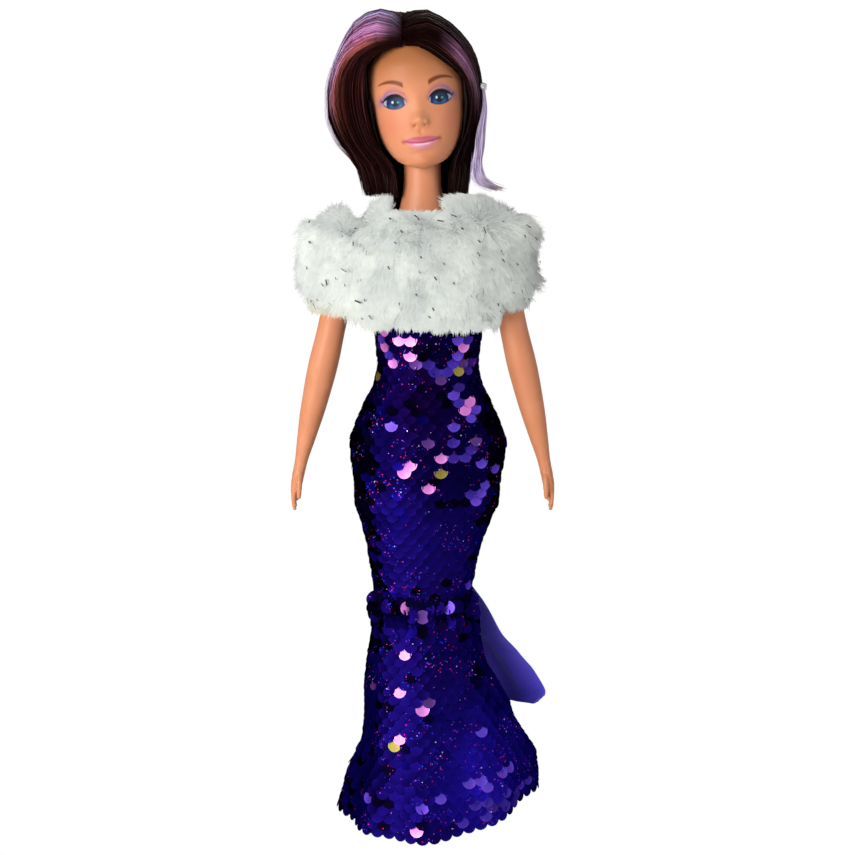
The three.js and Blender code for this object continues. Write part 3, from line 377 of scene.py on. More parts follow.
def power(name, description, default):
    """A lamp's power."""
    return bpy.props.FloatProperty(name=name, description=description, default=default, min=0, unit="POWER")


def count(name, description, default):
    """A whole number of things."""
    return bpy.props.IntProperty(name=name, description=description, default=default, min=1)


class DollStage(bpy.types.PropertyGroup):
    camera_distance: length("Camera distance", "How far the camera stands in front of the doll", 540)
    camera_height: length("Camera height", "How high the camera stands", 250)
    camera_side: length("Camera offset", "How far the camera stands to the doll's left", 1.77)
    camera_pitch: bpy.props.FloatProperty(
        name="Camera pitch", description="How far down the camera looks", default=math.radians(11.12),
        subtype="ANGLE",
    )
    lens: bpy.props.FloatProperty(
        name="Lens", description="Focal length", default=64.3, min=1, unit="CAMERA", subtype="DISTANCE_CAMERA"
    )
    key_power: power("Key light", "Power of the large lamp", 3.1)
    fill_power: power("Fill light", "Power of the two smaller lamps", 0.7)
    ambient: share("Room light", "Strength of the light from all round", 0.34)
    reflected: share("Reflected room", "Strength of the room in reflections", 0.5)
    floor: colour("Floor", "Colour of the floor and backdrop", "#f4f4f4")


class DollBody(bpy.types.PropertyGroup):
    skin: colour("Skin", "Colour of the vinyl", "#dc9068")
    skin_warm: colour("Warm skin", "Warmer tone mottled into the vinyl", "#d28458")
    moulding: colour("Moulded plastic", "Colour of the hidden pegs and axle", "#e2d6c8")
    shoe: colour("Shoe", "Colour of the shoes", "#3a2aa0")
    finger_gap: length("Finger spacing", "From one finger's middle to the next", 1.75)


class DollFace(bpy.types.PropertyGroup):
    eye_side: length("Eye spacing", "From the face's middle to an iris", 7.5)
    eye_height: length("Eye height", "From the chin to an iris", 22.35)
    eye_half_width: length("Eye half-width", "From the middle of an eye to a corner", 4.1)
    iris_radius: length("Iris radius", "Radius of the iris", 3.1)
    mouth_height: length("Mouth height", "From the chin to the line of the lips", 8.45)
    mouth_half_width: length("Mouth half-width", "From the mouth's middle to a corner", 6.5)
    iris: colour("Iris", "Colour of the iris", "#0b3a70")
    iris_rim: colour("Iris rim", "Colour of the iris's rim", "#081236")
    lashes: colour("Lashes", "Colour of the lash line", "#03080f")
    shadow: colour("Eye shadow", "Colour above the eyes", "#8a5f98")
    brow: colour("Brows", "Colour of the brows", "#6e3008")
    lips: colour("Lips", "Colour of the lips", "#c8607c")
    blush: colour("Blush", "Colour of the cheeks", "#d8705c")


class DollHair(bpy.types.PropertyGroup):
    strands: count("Strands", "Strands of the long hair", 9000)
    width: length("Strand width", "Width of a bundle of fibres", 0.42)
    dark: colour("Dark hair", "Main colour of the hair", "#1a0a09")
    burgundy: colour("Burgundy hair", "Lighter fibres of the main colour", "#522020")
    lilac: colour("Lilac hair", "Main colour of the streaks", "#dcc2ff")
    pink: colour("Pink hair", "Pink fibres of the streaks", "#ffb0ea")
    copper: colour("Copper hair", "Copper fibres beside the streaks", "#e8806c")
    pale: colour("Pale hair", "The palest fibres", "#e6dae8")


class DollGown(bpy.types.PropertyGroup):
    sequin_radius: length("Sequin radius", "Radius of a round sequin", 2.5)
    sequin_pitch: length("Sequin spacing", "From one sequin to the next in a row", 4.4)
    row_pitch: length("Row spacing", "From one row of sequins to the next", 2.75)
    dish: length("Sequin dish", "How deep a sequin is dished", 0.22)
    hem_lift: length("Hem lift", "How far the hem rises at the doll's left", 8.6)
    fold_depth: length("Fold depth", "How deep the flounce's folds are at the hem", 1.3)
    knit: colour("Knit", "Colour of the cloth under the sequins", "#0c0630")
    indigo: colour("Indigo sequin", "Most of the sequins", "#190b6c")
    night: colour("Night sequin", "The darkest sequins", "#060218")
    blue: colour("Blue sequin", "The blue sequins", "#1d1098")
    violet: colour("Violet sequin", "The violet sequins", "#7050e4")
    pink: colour("Pink sequin", "Sequins that flash pink", "#ee92ea")
    gold: colour("Gold sequin", "Sequins turned to their gold side", "#a89a4c")
    satin: colour("Satin", "Colour of the train", "#6252ec")


class DollStole(bpy.types.PropertyGroup):
    hairs: count("Fur hairs", "Hairs of fur over the whole stole", 56000)
    tufts: count("Fur tufts", "Tufts that the hairs lean towards", 1100)
    pile: length("Pile", "Length of the fur", 6.6)
    flecks: count("Tinsel flecks", "Flecks of tinsel in the fur", 165)
    fur: colour("Fur", "Colour of the fur", "#e1e4de")
    fur_shade: colour("Shaded fur", "Colour deep in the fur", "#c7ccca")
    tinsel: colour("Tinsel", "Colour of the flecks", "#6c6e74")
    lining: colour("Lining", "Colour of the satin inside", "#e6e4e0")


GROUPS = {
    "doll_stage": DollStage,
    "doll_body": DollBody,
    "doll_face": DollFace,
    "doll_hair": DollHair,
    "doll_gown": DollGown,
    "doll_stole": DollStole,
}


# Shapes


def smooth_step(value, low, high):
    """0 below low, 1 above high, and smooth between; low may be over high."""
    t = np.clip((value - low) / (high - low), 0, 1)
    return t * t * (3 - 2 * t)


def hump(value, middle, spread):
    """1 at the middle, falling off with the spread."""
    return np.exp(-(((value - middle) / spread) ** 2))


def unit(vectors):
    """The vectors at length 1."""
    return vectors / np.maximum(np.linalg.norm(vectors, axis=-1, keepdims=True), 1e-9)


def rgb(tone):
    """A colour's red, green and blue."""
    return np.array(tone)[:3]


def round_angles(steps):
    """Evenly spaced angles once round."""
    return np.linspace(0, 2 * math.pi, steps, endpoint=False)


def section_at(rows, heights):
    """Sections on smooth curves through the given ones, at an array of heights."""
    rows, heights = np.asarray(rows, float), np.asarray(heights, float)
    z = rows[:, 0]
    step = np.diff(z)[:, None]
    slope = np.diff(rows, axis=0) / step
    rate = np.zeros_like(rows)
    before, after = slope[:-1], slope[1:]
    same = before * after > 0
    rate[1:-1][same] = 2 * before[same] * after[same] / (before + after)[same]
    rate[0], rate[-1] = slope[0], slope[-1]
    k = np.clip(np.searchsorted(z, heights) - 1, 0, len(z) - 2)
    h = step[k]
    t = np.clip((heights - z[k])[..., None] / h, 0, 1)
    return (
        rows[k] * (1 + 2 * t) * (1 - t) ** 2
        + rate[k] * h * t * (1 - t) ** 2
        + rows[k + 1] * t * t * (3 - 2 * t)
        + rate[k + 1] * h * t * t * (t - 1)
    )


def oval_points(sections, angles, power=2.0):
    """Points on sections, [..., 7] with angles that match them, counted from the front to the doll's left."""
    z, x, y, right, left, front, back = np.moveaxis(sections, -1, 0)
    across = np.sign(np.sin(angles)) * np.abs(np.sin(angles)) ** (2 / power)
    along = np.sign(np.cos(angles)) * np.abs(np.cos(angles)) ** (2 / power)
    reach_x = np.where(across > 0, left, right)
    reach_y = np.where(along > 0, front, back)
    return np.stack([x + reach_x * across, y - reach_y * along, z + 0 * across], axis=-1)


def grown(sections, growth):
    """Sections with their reaches larger."""
    sections = np.array(sections, float)
    sections[..., 3:] += growth
    return sections


def oval_rings(rows, heights, columns, power=2.0):
    """Rings of points, [heights, columns, 3], on smooth curves through the rows."""
    return oval_points(section_at(rows, heights)[:, None, :], round_angles(columns)[None, :], power)


def grid_faces(rows, columns, closed=True, start=0):
    """Faces between rows of points, each row with the same number of columns."""
    i, j = np.meshgrid(np.arange(rows - 1), np.arange(columns if closed else columns - 1), indexing="ij")
    k = (j + 1) % columns
    faces = np.stack([i * columns + j, i * columns + k, (i + 1) * columns + k, (i + 1) * columns + j], axis=-1)
    return faces.reshape(-1, 4) + start


def closed_tube(rings, turned=False):
    """Points and faces of a form from its rings, with both ends closed; turned is inside out."""
    rows, columns = rings.shape[:2]
    end = np.arange(columns)
    faces = [*grid_faces(rows, columns).tolist(), end[::-1].tolist(), (end + (rows - 1) * columns).tolist()]
    return rings.reshape(-1, 3), [face[::-1] for face in faces] if turned else faces


def swept(path, radii, sides=14):
    """Points and faces of a round closed limb along a path in millimetres."""
    path, radii = np.asarray(path, float), np.asarray(radii, float)
    ahead = unit(np.gradient(path, axis=0))
    first = unit(np.cross(ahead, (0.0, 1.0, 0.02)))
    second = np.cross(ahead, first)
    angles = round_angles(sides)
    cosines, sines = np.cos(angles)[None, :, None], np.sin(angles)[None, :, None]
    ring = cosines * first[:, None, :] + sines * second[:, None, :]
    points = path[:, None, :] + ring * radii[:, None, None]
    ends = [path[:1] - ahead[:1] * radii[0] * 0.5, path[-1:] + ahead[-1:] * radii[-1] * 0.5]
    rows = len(path)
    faces = grid_faces(rows, sides).tolist()
    base = rows * sides
    for k in range(sides):
        following = (k + 1) % sides
        faces += [(base, following, k), (base + 1, base - sides + k, base - sides + following)]
    return np.concatenate([points.reshape(-1, 3), *ends]), faces


def joined(shapes, turned=False):
    """Several (points, faces) as one; turned is inside out."""
    points, faces, start = [], [], 0
    for some_points, some_faces in shapes:
        points.append(some_points)
        faces += [[v + start for v in (face[::-1] if turned else face)] for face in some_faces]
        start += len(some_points)
    return np.concatenate(points), faces


def curve_points(points, steps):
    """Points on a smooth curve through the given ones, evenly spaced in their order."""
    points = np.asarray(points, float)
    rows = np.column_stack([np.arange(len(points)), points])
    return section_at(rows, np.linspace(0, len(points) - 1, steps))[:, 1:]


def distances(points):
    """How far along the line through them each point is."""
    return np.concatenate([[0], np.cumsum(np.linalg.norm(np.diff(points, axis=0), axis=1))])


def even_steps(points, steps):
    """Points at even distances on a smooth curve through the given ones."""
    fine = curve_points(points, 200)
    along = distances(fine)
    wanted = np.linspace(0, along[-1], steps)
    return np.stack([np.interp(wanted, along, fine[:, k]) for k in range(3)], axis=-1)


def bumpiness(points, size, seed):
    """Smooth noise from -1 to 1 at points in millimetres, with lumps of a size."""
    shift = Vector((seed * 17.3, seed * 5.1, seed * 9.7))
    values = [noise.noise(Vector(p) / size + shift) for p in np.asarray(points, float).reshape(-1, 3)]
    return np.reshape(values, np.shape(points)[:-1])


def new_piece(name, points, faces, material):
    """A smooth mesh object from points in millimetres."""
    mesh = bpy.data.meshes.new(name)
    faces = faces.tolist() if isinstance(faces, np.ndarray) else faces
    mesh.from_pydata((np.asarray(points, float).reshape(-1, 3) * MM).tolist(), [], faces)
    mesh.validate()
    mesh.polygons.foreach_set("use_smooth", np.ones(len(mesh.polygons), bool))
    mesh.materials.append(material)
    piece = bpy.data.objects.new(name, mesh)
    bpy.context.scene.collection.objects.link(piece)
    return piece


def tint(piece, tones):
    """Gives the piece a colour at each point, for its material to read."""
    layer = piece.data.color_attributes.new(name="tint", type="FLOAT_COLOR", domain="POINT")
    tones = np.asarray(tones, np.float32).reshape(-1, 3)
    layer.data.foreach_set("color", np.column_stack([tones, np.ones(len(tones), np.float32)]).ravel())


def measure(piece, values):
    """Gives the piece a shine at each point, for its material to read."""
    layer = piece.data.attributes.new(name="shine", type="FLOAT", domain="POINT")
    layer.data.foreach_set("value", np.asarray(values, np.float32).ravel())


def apply_modifiers(piece):
    """Turns the piece into the mesh that its modifiers make."""
    bpy.context.view_layer.update()
    graph = bpy.context.evaluated_depsgraph_get()
    made = bpy.data.meshes.new_from_object(piece.evaluated_get(graph))
    piece.modifiers.clear()
    old = piece.data
    piece.data = made
    bpy.data.meshes.remove(old)
    made.polygons.foreach_set("use_smooth", np.ones(len(made.polygons), bool))


def ribbons(name, paths, sides, widths, tones, material, facing=None):
    """Flat strands: paths, side directions, colours and facings [n, k, 3], and widths [n, k]."""
    n, k, _ = paths.shape
    half = sides * widths[..., None] / 2
    points = np.stack([paths - half, paths + half], axis=2)
    base = (np.arange(n)[:, None] * k + np.arange(k - 1)[None, :]).ravel() * 2
    piece = new_piece(name, points, np.stack([base, base + 1, base + 3, base + 2], axis=-1), material)
    tint(piece, np.repeat(tones.reshape(-1, 3), 2, axis=0))
    if facing is not None:
        piece.data.normals_split_custom_set_from_vertices(np.repeat(unit(facing).reshape(-1, 3), 2, axis=0))
    return piece


# Shader effects, each a node group that more than one material places


def set_inputs(tree, node, links):
    """Links a node's inputs to sockets, or sets them to values."""
    for key, value in links.items():
        if isinstance(value, bpy.types.NodeSocket):
            tree.links.new(value, node.inputs[key])
        else:
            node.inputs[key].default_value = value
    return node


def add_node(tree, kind, links=None, **settings):
    """A shader node with its settings and inputs."""
    node = tree.nodes.new(f"ShaderNode{kind}")
    for key, value in settings.items():
        setattr(node, key, value)
    return set_inputs(tree, node, links or {})


def maths(tree, operation, *values):
    """The result of a sum on values or sockets."""
    return add_node(tree, "Math", dict(enumerate(values)), operation=operation).outputs[0]


def mixed(tree, amount, first, second):
    """Two colours mixed."""
    return add_node(tree, "Mix", {0: amount, 6: first, 7: second}, data_type="RGBA").outputs[2]


def remapped(tree, value, low, high, to_low=0.0, to_high=1.0):
    """A value from one range put into another."""
    links = {"Value": value, "From Min": low, "From Max": high, "To Min": to_low, "To Max": to_high}
    return add_node(tree, "MapRange", links).outputs["Result"]


def new_effect(name, inputs, outputs):
    """A node group with named inputs and their defaults: its tree, input and output ends, and a place."""
    tree = bpy.data.node_groups.new(name, "ShaderNodeTree")
    for label, default in inputs.items():
        kind = "Color" if "Colour" in label else "Float"
        socket = tree.interface.new_socket(name=label, in_out="INPUT", socket_type=f"NodeSocket{kind}")
        socket.default_value = default
    for label in outputs:
        kind = "Color" if label == "Colour" else "Float"
        tree.interface.new_socket(name=label, in_out="OUTPUT", socket_type=f"NodeSocket{kind}")
    source = tree.nodes.new("NodeGroupInput").outputs
    sink = tree.nodes.new("NodeGroupOutput").inputs
    return tree, source, sink, add_node(tree, "TexCoord").outputs["Object"]


WHITE = (1, 1, 1, 1)


def make_mottle(name):
    """Two colours drifting into each other, as in moulded vinyl or worn cloth."""
    inputs = {"Colour": WHITE, "Other Colour": WHITE, "Scale": 90.0, "Share": 0.5}
    tree, source, sink, place = new_effect(name, inputs, ["Colour"])
    drift = add_node(tree, "TexNoise", {"Vector": place, "Scale": source["Scale"], "Detail": 3.0})
    amount = maths(tree, "MULTIPLY", remapped(tree, drift.outputs["Fac"], 0.35, 0.65), source["Share"])
    tree.links.new(mixed(tree, amount, source["Colour"], source["Other Colour"]), sink["Colour"])
    return tree


def make_grain(name):
    """A fine grain: a roughness between two values and a height."""
    ends = {"Scale": 2500.0, "Low": 0.3, "High": 0.5}
    tree, source, sink, place = new_effect(name, ends, ["Roughness", "Height"])
    fine = add_node(tree, "TexNoise", {"Vector": place, "Scale": source["Scale"], "Detail": 4.0}).outputs["Fac"]
    tree.links.new(remapped(tree, fine, 0.3, 0.7, source["Low"], source["High"]), sink["Roughness"])
    tree.links.new(fine, sink["Height"])
    return tree


def make_weave(name):
    """Crossing threads, as a height and as a mask of the gaps between them."""
    inputs = {"Threads Across": 2600.0, "Threads Along": 2600.0}
    tree, source, sink, place = new_effect(name, inputs, ["Height", "Gaps"])
    parts = add_node(tree, "SeparateXYZ", {"Vector": place}).outputs
    across = maths(tree, "MULTIPLY", maths(tree, "ADD", parts["X"], parts["Y"]), source["Threads Across"])
    along = maths(tree, "MULTIPLY", parts["Z"], source["Threads Along"])
    height = maths(tree, "MULTIPLY", maths(tree, "SINE", across), maths(tree, "SINE", along))
    tree.links.new(remapped(tree, height, -1.0, 1.0), sink["Height"])
    tree.links.new(remapped(tree, height, -0.2, -1.0), sink["Gaps"])
    return tree


# The glitter's specks: where each colour starts in a range of chances
SPECKS = ((0.0, "#f41c50"), (0.26, "#2450ff"), (0.6, "#a040e8"), (0.76, "#d84cc8"), (0.95, "#f0e8ff"))


def make_glitter(name):
    """Small bright specks of many colours over a base colour, thicker in some patches."""
    inputs = {"Colour": WHITE, "Scale": 1800.0, "Share": 0.1, "Brightness": 1.0}
    tree, source, sink, place = new_effect(name, inputs, ["Colour"])
    cells = add_node(tree, "TexVoronoi", {"Vector": place, "Scale": source["Scale"], "Randomness": 1.0}).outputs
    chance = add_node(tree, "SeparateColor", {"Color": cells["Color"]}, mode="RGB").outputs
    patches = add_node(tree, "TexNoise", {"Vector": place, "Scale": 110.0, "Detail": 1.0}).outputs["Fac"]
    thick = maths(tree, "MULTIPLY", source["Share"], remapped(tree, patches, 0.48, 0.66, 0.3, 4.5))
    chosen = maths(tree, "GREATER_THAN", chance["Red"], maths(tree, "SUBTRACT", 1.0, thick))
    speck = maths(tree, "MULTIPLY", chosen, maths(tree, "LESS_THAN", cells["Distance"], 0.42))
    tones = add_node(tree, "ValToRGB", {"Fac": chance["Green"]})
    ramp = tones.color_ramp
    ramp.interpolation = "CONSTANT"
    ramp.elements.remove(ramp.elements[1])
    for start, text in SPECKS:
        stop = ramp.elements.new(start) if start else ramp.elements[0]
        stop.color = hex_colour(text)
    amount = maths(tree, "MULTIPLY", speck, source["Brightness"])
    tree.links.new(mixed(tree, amount, source["Colour"], tones.outputs["Color"]), sink["Colour"])
    return tree


EFFECTS = {"Mottle": make_mottle, "Grain": make_grain, "Weave": make_weave, "Glitter": make_glitter}


def place_effect(tree, name, links):
    """The effect's group in a material's nodes, built on its first use: its outputs."""
    node = tree.nodes.new("ShaderNodeGroup")
    node.node_tree = bpy.data.node_groups.get(name) or EFFECTS[name](name)
    return set_inputs(tree, node, links).outputs


# Materials


def made_once(make):
    """A maker of materials that gives back the one that has the name already."""

    def known_or_new(name, *sizes, **settings):
        return bpy.data.materials.get(name) or make(name, *sizes, **settings)

    return known_or_new


def new_material(name, **constants):
    """A material, its nodes and its Principled shader; values are set by socket name with _ for a space."""
    material = bpy.data.materials.new(name)
    material.use_nodes = True
    shader = material.node_tree.nodes["Principled BSDF"]
    for key, value in constants.items():
        shader.inputs[key.replace("_", " ")].default_value = value
    return material, material.node_tree, shader


def mottle(tree, base, other, scale, amount):
    """The colour of a mottled surface."""
    links = {"Colour": base, "Other Colour": other, "Scale": scale, "Share": amount}
    return place_effect(tree, "Mottle", links)["Colour"]


def surface(tree, shader, tone, grain, depth=0.0, height=None):
    """Gives a shader its colour, a grain of (scale, least roughness, most), and a bump from it or a height."""
    fine = place_effect(tree, "Grain", dict(zip(("Scale", "Low", "High"), grain)))
    set_inputs(tree, shader, {"Base Color": tone, "Roughness": fine["Roughness"]})
    if depth:
        links = {"Height": height or fine["Height"], "Distance": depth, "Strength": 1.0}
        set_inputs(tree, shader, {"Normal": add_node(tree, "Bump", links).outputs["Normal"]})
    return fine["Roughness"]


def darker(tone, level):
    """A colour at a part of its brightness."""
    return (*(level * v for v in tone[:3]), 1)


def read_tint(tree):
    """The colour that the piece carries at each point."""
    return add_node(tree, "Attribute", attribute_name="tint").outputs["Color"]


@made_once
def plain_material(name, base, other, drift, grain, depth=0.0, **constants):
    """A surface of two colours that drift into each other by (scale, share)."""
    material, tree, shader = new_material(name, **constants)
    surface(tree, shader, mottle(tree, base, other, *drift), grain, depth)
    return material


VINYL = {"Subsurface_Weight": 0.12, "Subsurface_Scale": 0.0016, "Subsurface_Radius": (1.0, 0.45, 0.25)}
VINYL_GRAIN = (5200.0, 0.36, 0.5)
VINYL_DEPTH = 0.00002


def skin_vinyl(body):
    """Soft doll vinyl with a satin skin."""
    tones = tuple(body.skin), tuple(body.skin_warm)
    return plain_material(
        "skin_vinyl", *tones, (120.0, 0.55), VINYL_GRAIN, VINYL_DEPTH, Specular_IOR_Level=0.4, **VINYL
    )


def face_vinyl():
    """The same vinyl in the colours painted on the face, painted shade and light among them, and smoother where
    the paint is glossy.
    """
    material, tree, shader = new_material("face_vinyl", Specular_IOR_Level=0.25, **VINYL)
    tone = mottle(tree, read_tint(tree), read_tint(tree), 160.0, 0.1)
    rough = surface(tree, shader, tone, VINYL_GRAIN, VINYL_DEPTH)
    gloss = add_node(tree, "Attribute", attribute_name="shine").outputs["Fac"]
    glossy = add_node(tree, "Mix", {0: gloss, 2: rough, 3: 0.26}, data_type="FLOAT").outputs[0]
    set_inputs(tree, shader, {"Roughness": glossy})
    return material


def plastic_material(name, base, low, high, scale=3000.0, **constants):
    """Moulded plastic with its own grain."""
    return plain_material(name, base, darker(base, 0.8), (200.0, 0.4), (scale, low, high), 0.00003, **constants)


@made_once
def cloth_material(name, base, other, threads, low, high, depth=0.00006, sheen=0.2, specular=0.4):
    """Cloth with its threads as a bump, and the other colour in the gaps between them."""
    material, tree, shader = new_material(
        name, Sheen_Weight=sheen, Sheen_Roughness=0.4, Specular_IOR_Level=specular
    )
    weave = place_effect(tree, "Weave", dict(zip(("Threads Across", "Threads Along"), threads)))
    tone = mixed(tree, weave["Gaps"], mottle(tree, base, other, 70.0, 0.35), other)
    surface(tree, shader, tone, (900.0, low, high), depth, weave["Height"])
    return material


@made_once
def fibre_material(name, low, high, sheen=0.0, specular=0.5, shine=(1, 1, 1)):
    """Fibres in the colours that their piece carries."""
    material, tree, shader = new_material(
        name, Sheen_Weight=sheen, Sheen_Roughness=0.4, Specular_IOR_Level=specular, Specular_Tint=(*shine, 1.0)
    )
    source = read_tint(tree)
    dark = mixed(tree, 0.16, source, (0, 0, 0, 1))
    surface(tree, shader, mottle(tree, source, dark, 500.0, 0.8), (1500.0, low, high))
    return material


@made_once
def sequin_material(name):
    """Holographic film: a metallic colour that each sequin carries, painted shade and highlights among them,
    with fine coloured specks.
    """
    material, tree, shader = new_material(
        name, Metallic=1.0, Specular_IOR_Level=0.1, Specular_Tint=(0.16, 0.12, 0.42, 1.0)
    )
    links = {"Colour": read_tint(tree), "Scale": 1700.0, "Share": 0.03, "Brightness": 0.62}
    surface(tree, shader, place_effect(tree, "Glitter", links)["Colour"], (2600.0, 0.44, 0.6), 0.00002)
    return material


def finish_node(node, material):
    """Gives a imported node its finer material."""
    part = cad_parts[node]
    if not part.material_slots:
        part.data.materials.append(material)
    for place in part.material_slots:
        place.link = "OBJECT"
        place.material = material


def put_on(piece, body, *nodes, slot):
    """The piece rides on the body and stands for the nodes."""
    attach(piece, body)
    if nodes:
        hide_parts(*nodes)
    return piece


class PieceMaker:
    """What every maker of pieces shares."""

    bl_options = {"REGISTER", "UNDO"}


class DOLL_OT_stage(PieceMaker, bpy.types.Operator):
    """Make the floor, the backdrop, the lamps and the camera"""

    bl_idname = "doll.stage"
    bl_label = "Stage"

    def execute(self, context):
        scene = context.scene
        size = scene.doll_stage
        scene.view_settings.view_transform = "Standard"
        self.make_floor(size)
        self.make_room(scene, size)
        self.make_lamp("key_lamp", (-0.36, -0.46, 0.3), 0.4, size.key_power)
        self.make_lamp("fill_lamp", (0.7, -0.45, 0.36), 0.3, size.fill_power)
        self.make_lamp("back_lamp", (0.12, 0.5, 0.75), 0.3, size.fill_power)
        lens = bpy.data.cameras.new("camera")
        lens.lens = size.lens
        lens.sensor_width = 36
        lens.clip_start = 0.01
        camera = bpy.data.objects.new("camera", lens)
        camera.location = (size.camera_side, -size.camera_distance, size.camera_height)
        camera.rotation_euler = (math.pi / 2 - size.camera_pitch, 0, 0)
        scene.collection.objects.link(camera)
        scene.camera = camera
        return {"FINISHED"}

    def make_floor(self, size):
        """A floor that runs up behind the doll in one curve."""
        half_width, bend, back, top, steps = 3000, 500, 1400, 2600, 16
        turns = np.linspace(0, math.pi / 2, steps + 1)
        curve = [(back - bend + bend * math.sin(turn), bend - bend * math.cos(turn)) for turn in turns]
        side = [(-half_width, 0), *curve, (back, top)]
        points = [(x, y, z) for y, z in side for x in (-half_width, half_width)]
        new_piece("floor", points, grid_faces(len(side), 2, closed=False), self.floor_material(size))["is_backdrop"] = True

    def seen(self, tree):
        """Light paths, and 1 where the camera sees a surface itself or through a clear one."""
        path = add_node(tree, "LightPath").outputs
        return path, maths(tree, "MAXIMUM", path["Is Camera Ray"], path["Is Transmission Ray"])

    def floor_material(self, size):
        """A pale floor that looks plain white and still takes the light as a soft grey."""
        material, tree, shader = new_material(
            "studio_floor", Roughness=0.9, Specular_IOR_Level=0.0, Base_Color=tuple(size.floor)
        )
        glow = add_node(tree, "Emission", {"Color": WHITE, "Strength": 1.0}).outputs[0]
        mix = add_node(tree, "MixShader", {0: self.seen(tree)[1], 1: shader.outputs[0], 2: glow})
        tree.links.new(mix.outputs[0], tree.nodes["Material Output"].inputs["Surface"])
        return material

    def make_room(self, scene, size):
        """White as the camera sees it, a paler grey in reflections, and a soft grey as light."""
        scene.world = bpy.data.worlds.new("room")
        scene.world.use_nodes = True
        tree = scene.world.node_tree
        path, seen = self.seen(tree)
        light = remapped(tree, seen, 0.0, 1.0, size.ambient, 1.0)
        glossy = remapped(tree, path["Is Glossy Ray"], 0.0, 1.0, 0.0, size.reflected - size.ambient)
        strength = maths(tree, "ADD", light, glossy)
        set_inputs(tree, tree.nodes["Background"], {"Color": WHITE, "Strength": strength})

    def make_lamp(self, name, place, width, power_):
        """A round lamp that looks at the doll's middle."""
        data = bpy.data.lights.new(name, "AREA")
        data.shape = "DISK"
        data.size = width
        data.energy = power_
        lamp = bpy.data.objects.new(name, data)
        lamp.location = place
        aim = Vector((0, 0, 0.17)) - Vector(place)
        lamp.rotation_euler = aim.to_track_quat("-Z", "Y").to_euler()
        bpy.context.scene.collection.objects.link(lamp)


# The body


def even_out(piece, cell, rounds):
    """Joins a piece's overlapping forms into one smooth skin."""
    remesh = piece.modifiers.new("even", "REMESH")
    remesh.mode = "VOXEL"
    remesh.voxel_size = cell * MM
    soften = piece.modifiers.new("soften", "SMOOTH")
    soften.factor = 0.5
    soften.iterations = rounds
    apply_modifiers(piece)


class DOLL_OT_body(PieceMaker, bpy.types.Operator):
    """Make the torso with its neck, and finish the pegs and the axle"""

    bl_idname = "doll.body"
    bl_label = "Torso and neck"

    def execute(self, context):
        size = context.scene.doll_body
        shoulder_flat, neck_flare, seam_width = 20.9, 216, 0.22
        heights = np.concatenate([np.linspace(152.3, 205, 60), np.linspace(206, NECK_TOP, 64)])
        rings = oval_rings(TORSO, heights, 96)
        x, y = rings[..., 0], rings[..., 1]
        limit = np.where(heights[:, None] < neck_flare, shoulder_flat, 30)
        x[:] = np.clip(x, -limit, limit)
        x -= np.sign(x) * seam_width * hump(y, 0, seam_width) * (np.abs(x) > 3)
        torso = new_piece("torso_skin", *joined([closed_tube(rings), self.crotch_block()]), skin_vinyl(size))
        put_on(torso, "torso", "torso_front", "torso_back", slot="vinyl_skin")
        moulded = plastic_material("moulded_plastic", tuple(size.moulding), 0.35, 0.5)
        for node in ("hip_axle", "neck_knob", "left_shoulder_peg", "right_shoulder_peg"):
            finish_node(node, moulded)
        return {"FINISHED"}

    def crotch_block(self):
        """The narrow block between the legs, round about the hip axle."""
        angles, top = round_angles(48), 153.5
        rings = []
        for x, radius in ((-4, 11.155), (-3.7, 11.5), (3.7, 11.5), (4, 11.155)):
            up = np.minimum(radius * np.cos(angles) + HIP, top)
            rings.append(np.stack([np.full(len(angles), x), radius * np.sin(angles), up], axis=-1))
        return closed_tube(np.array(rings), turned=True)


ELBOW = 160
ARM_INNER = 21.25
FINGERTIPS = (115.3, 113.6, 114.4, 116.4)
TOE_WIDTH = 1.9


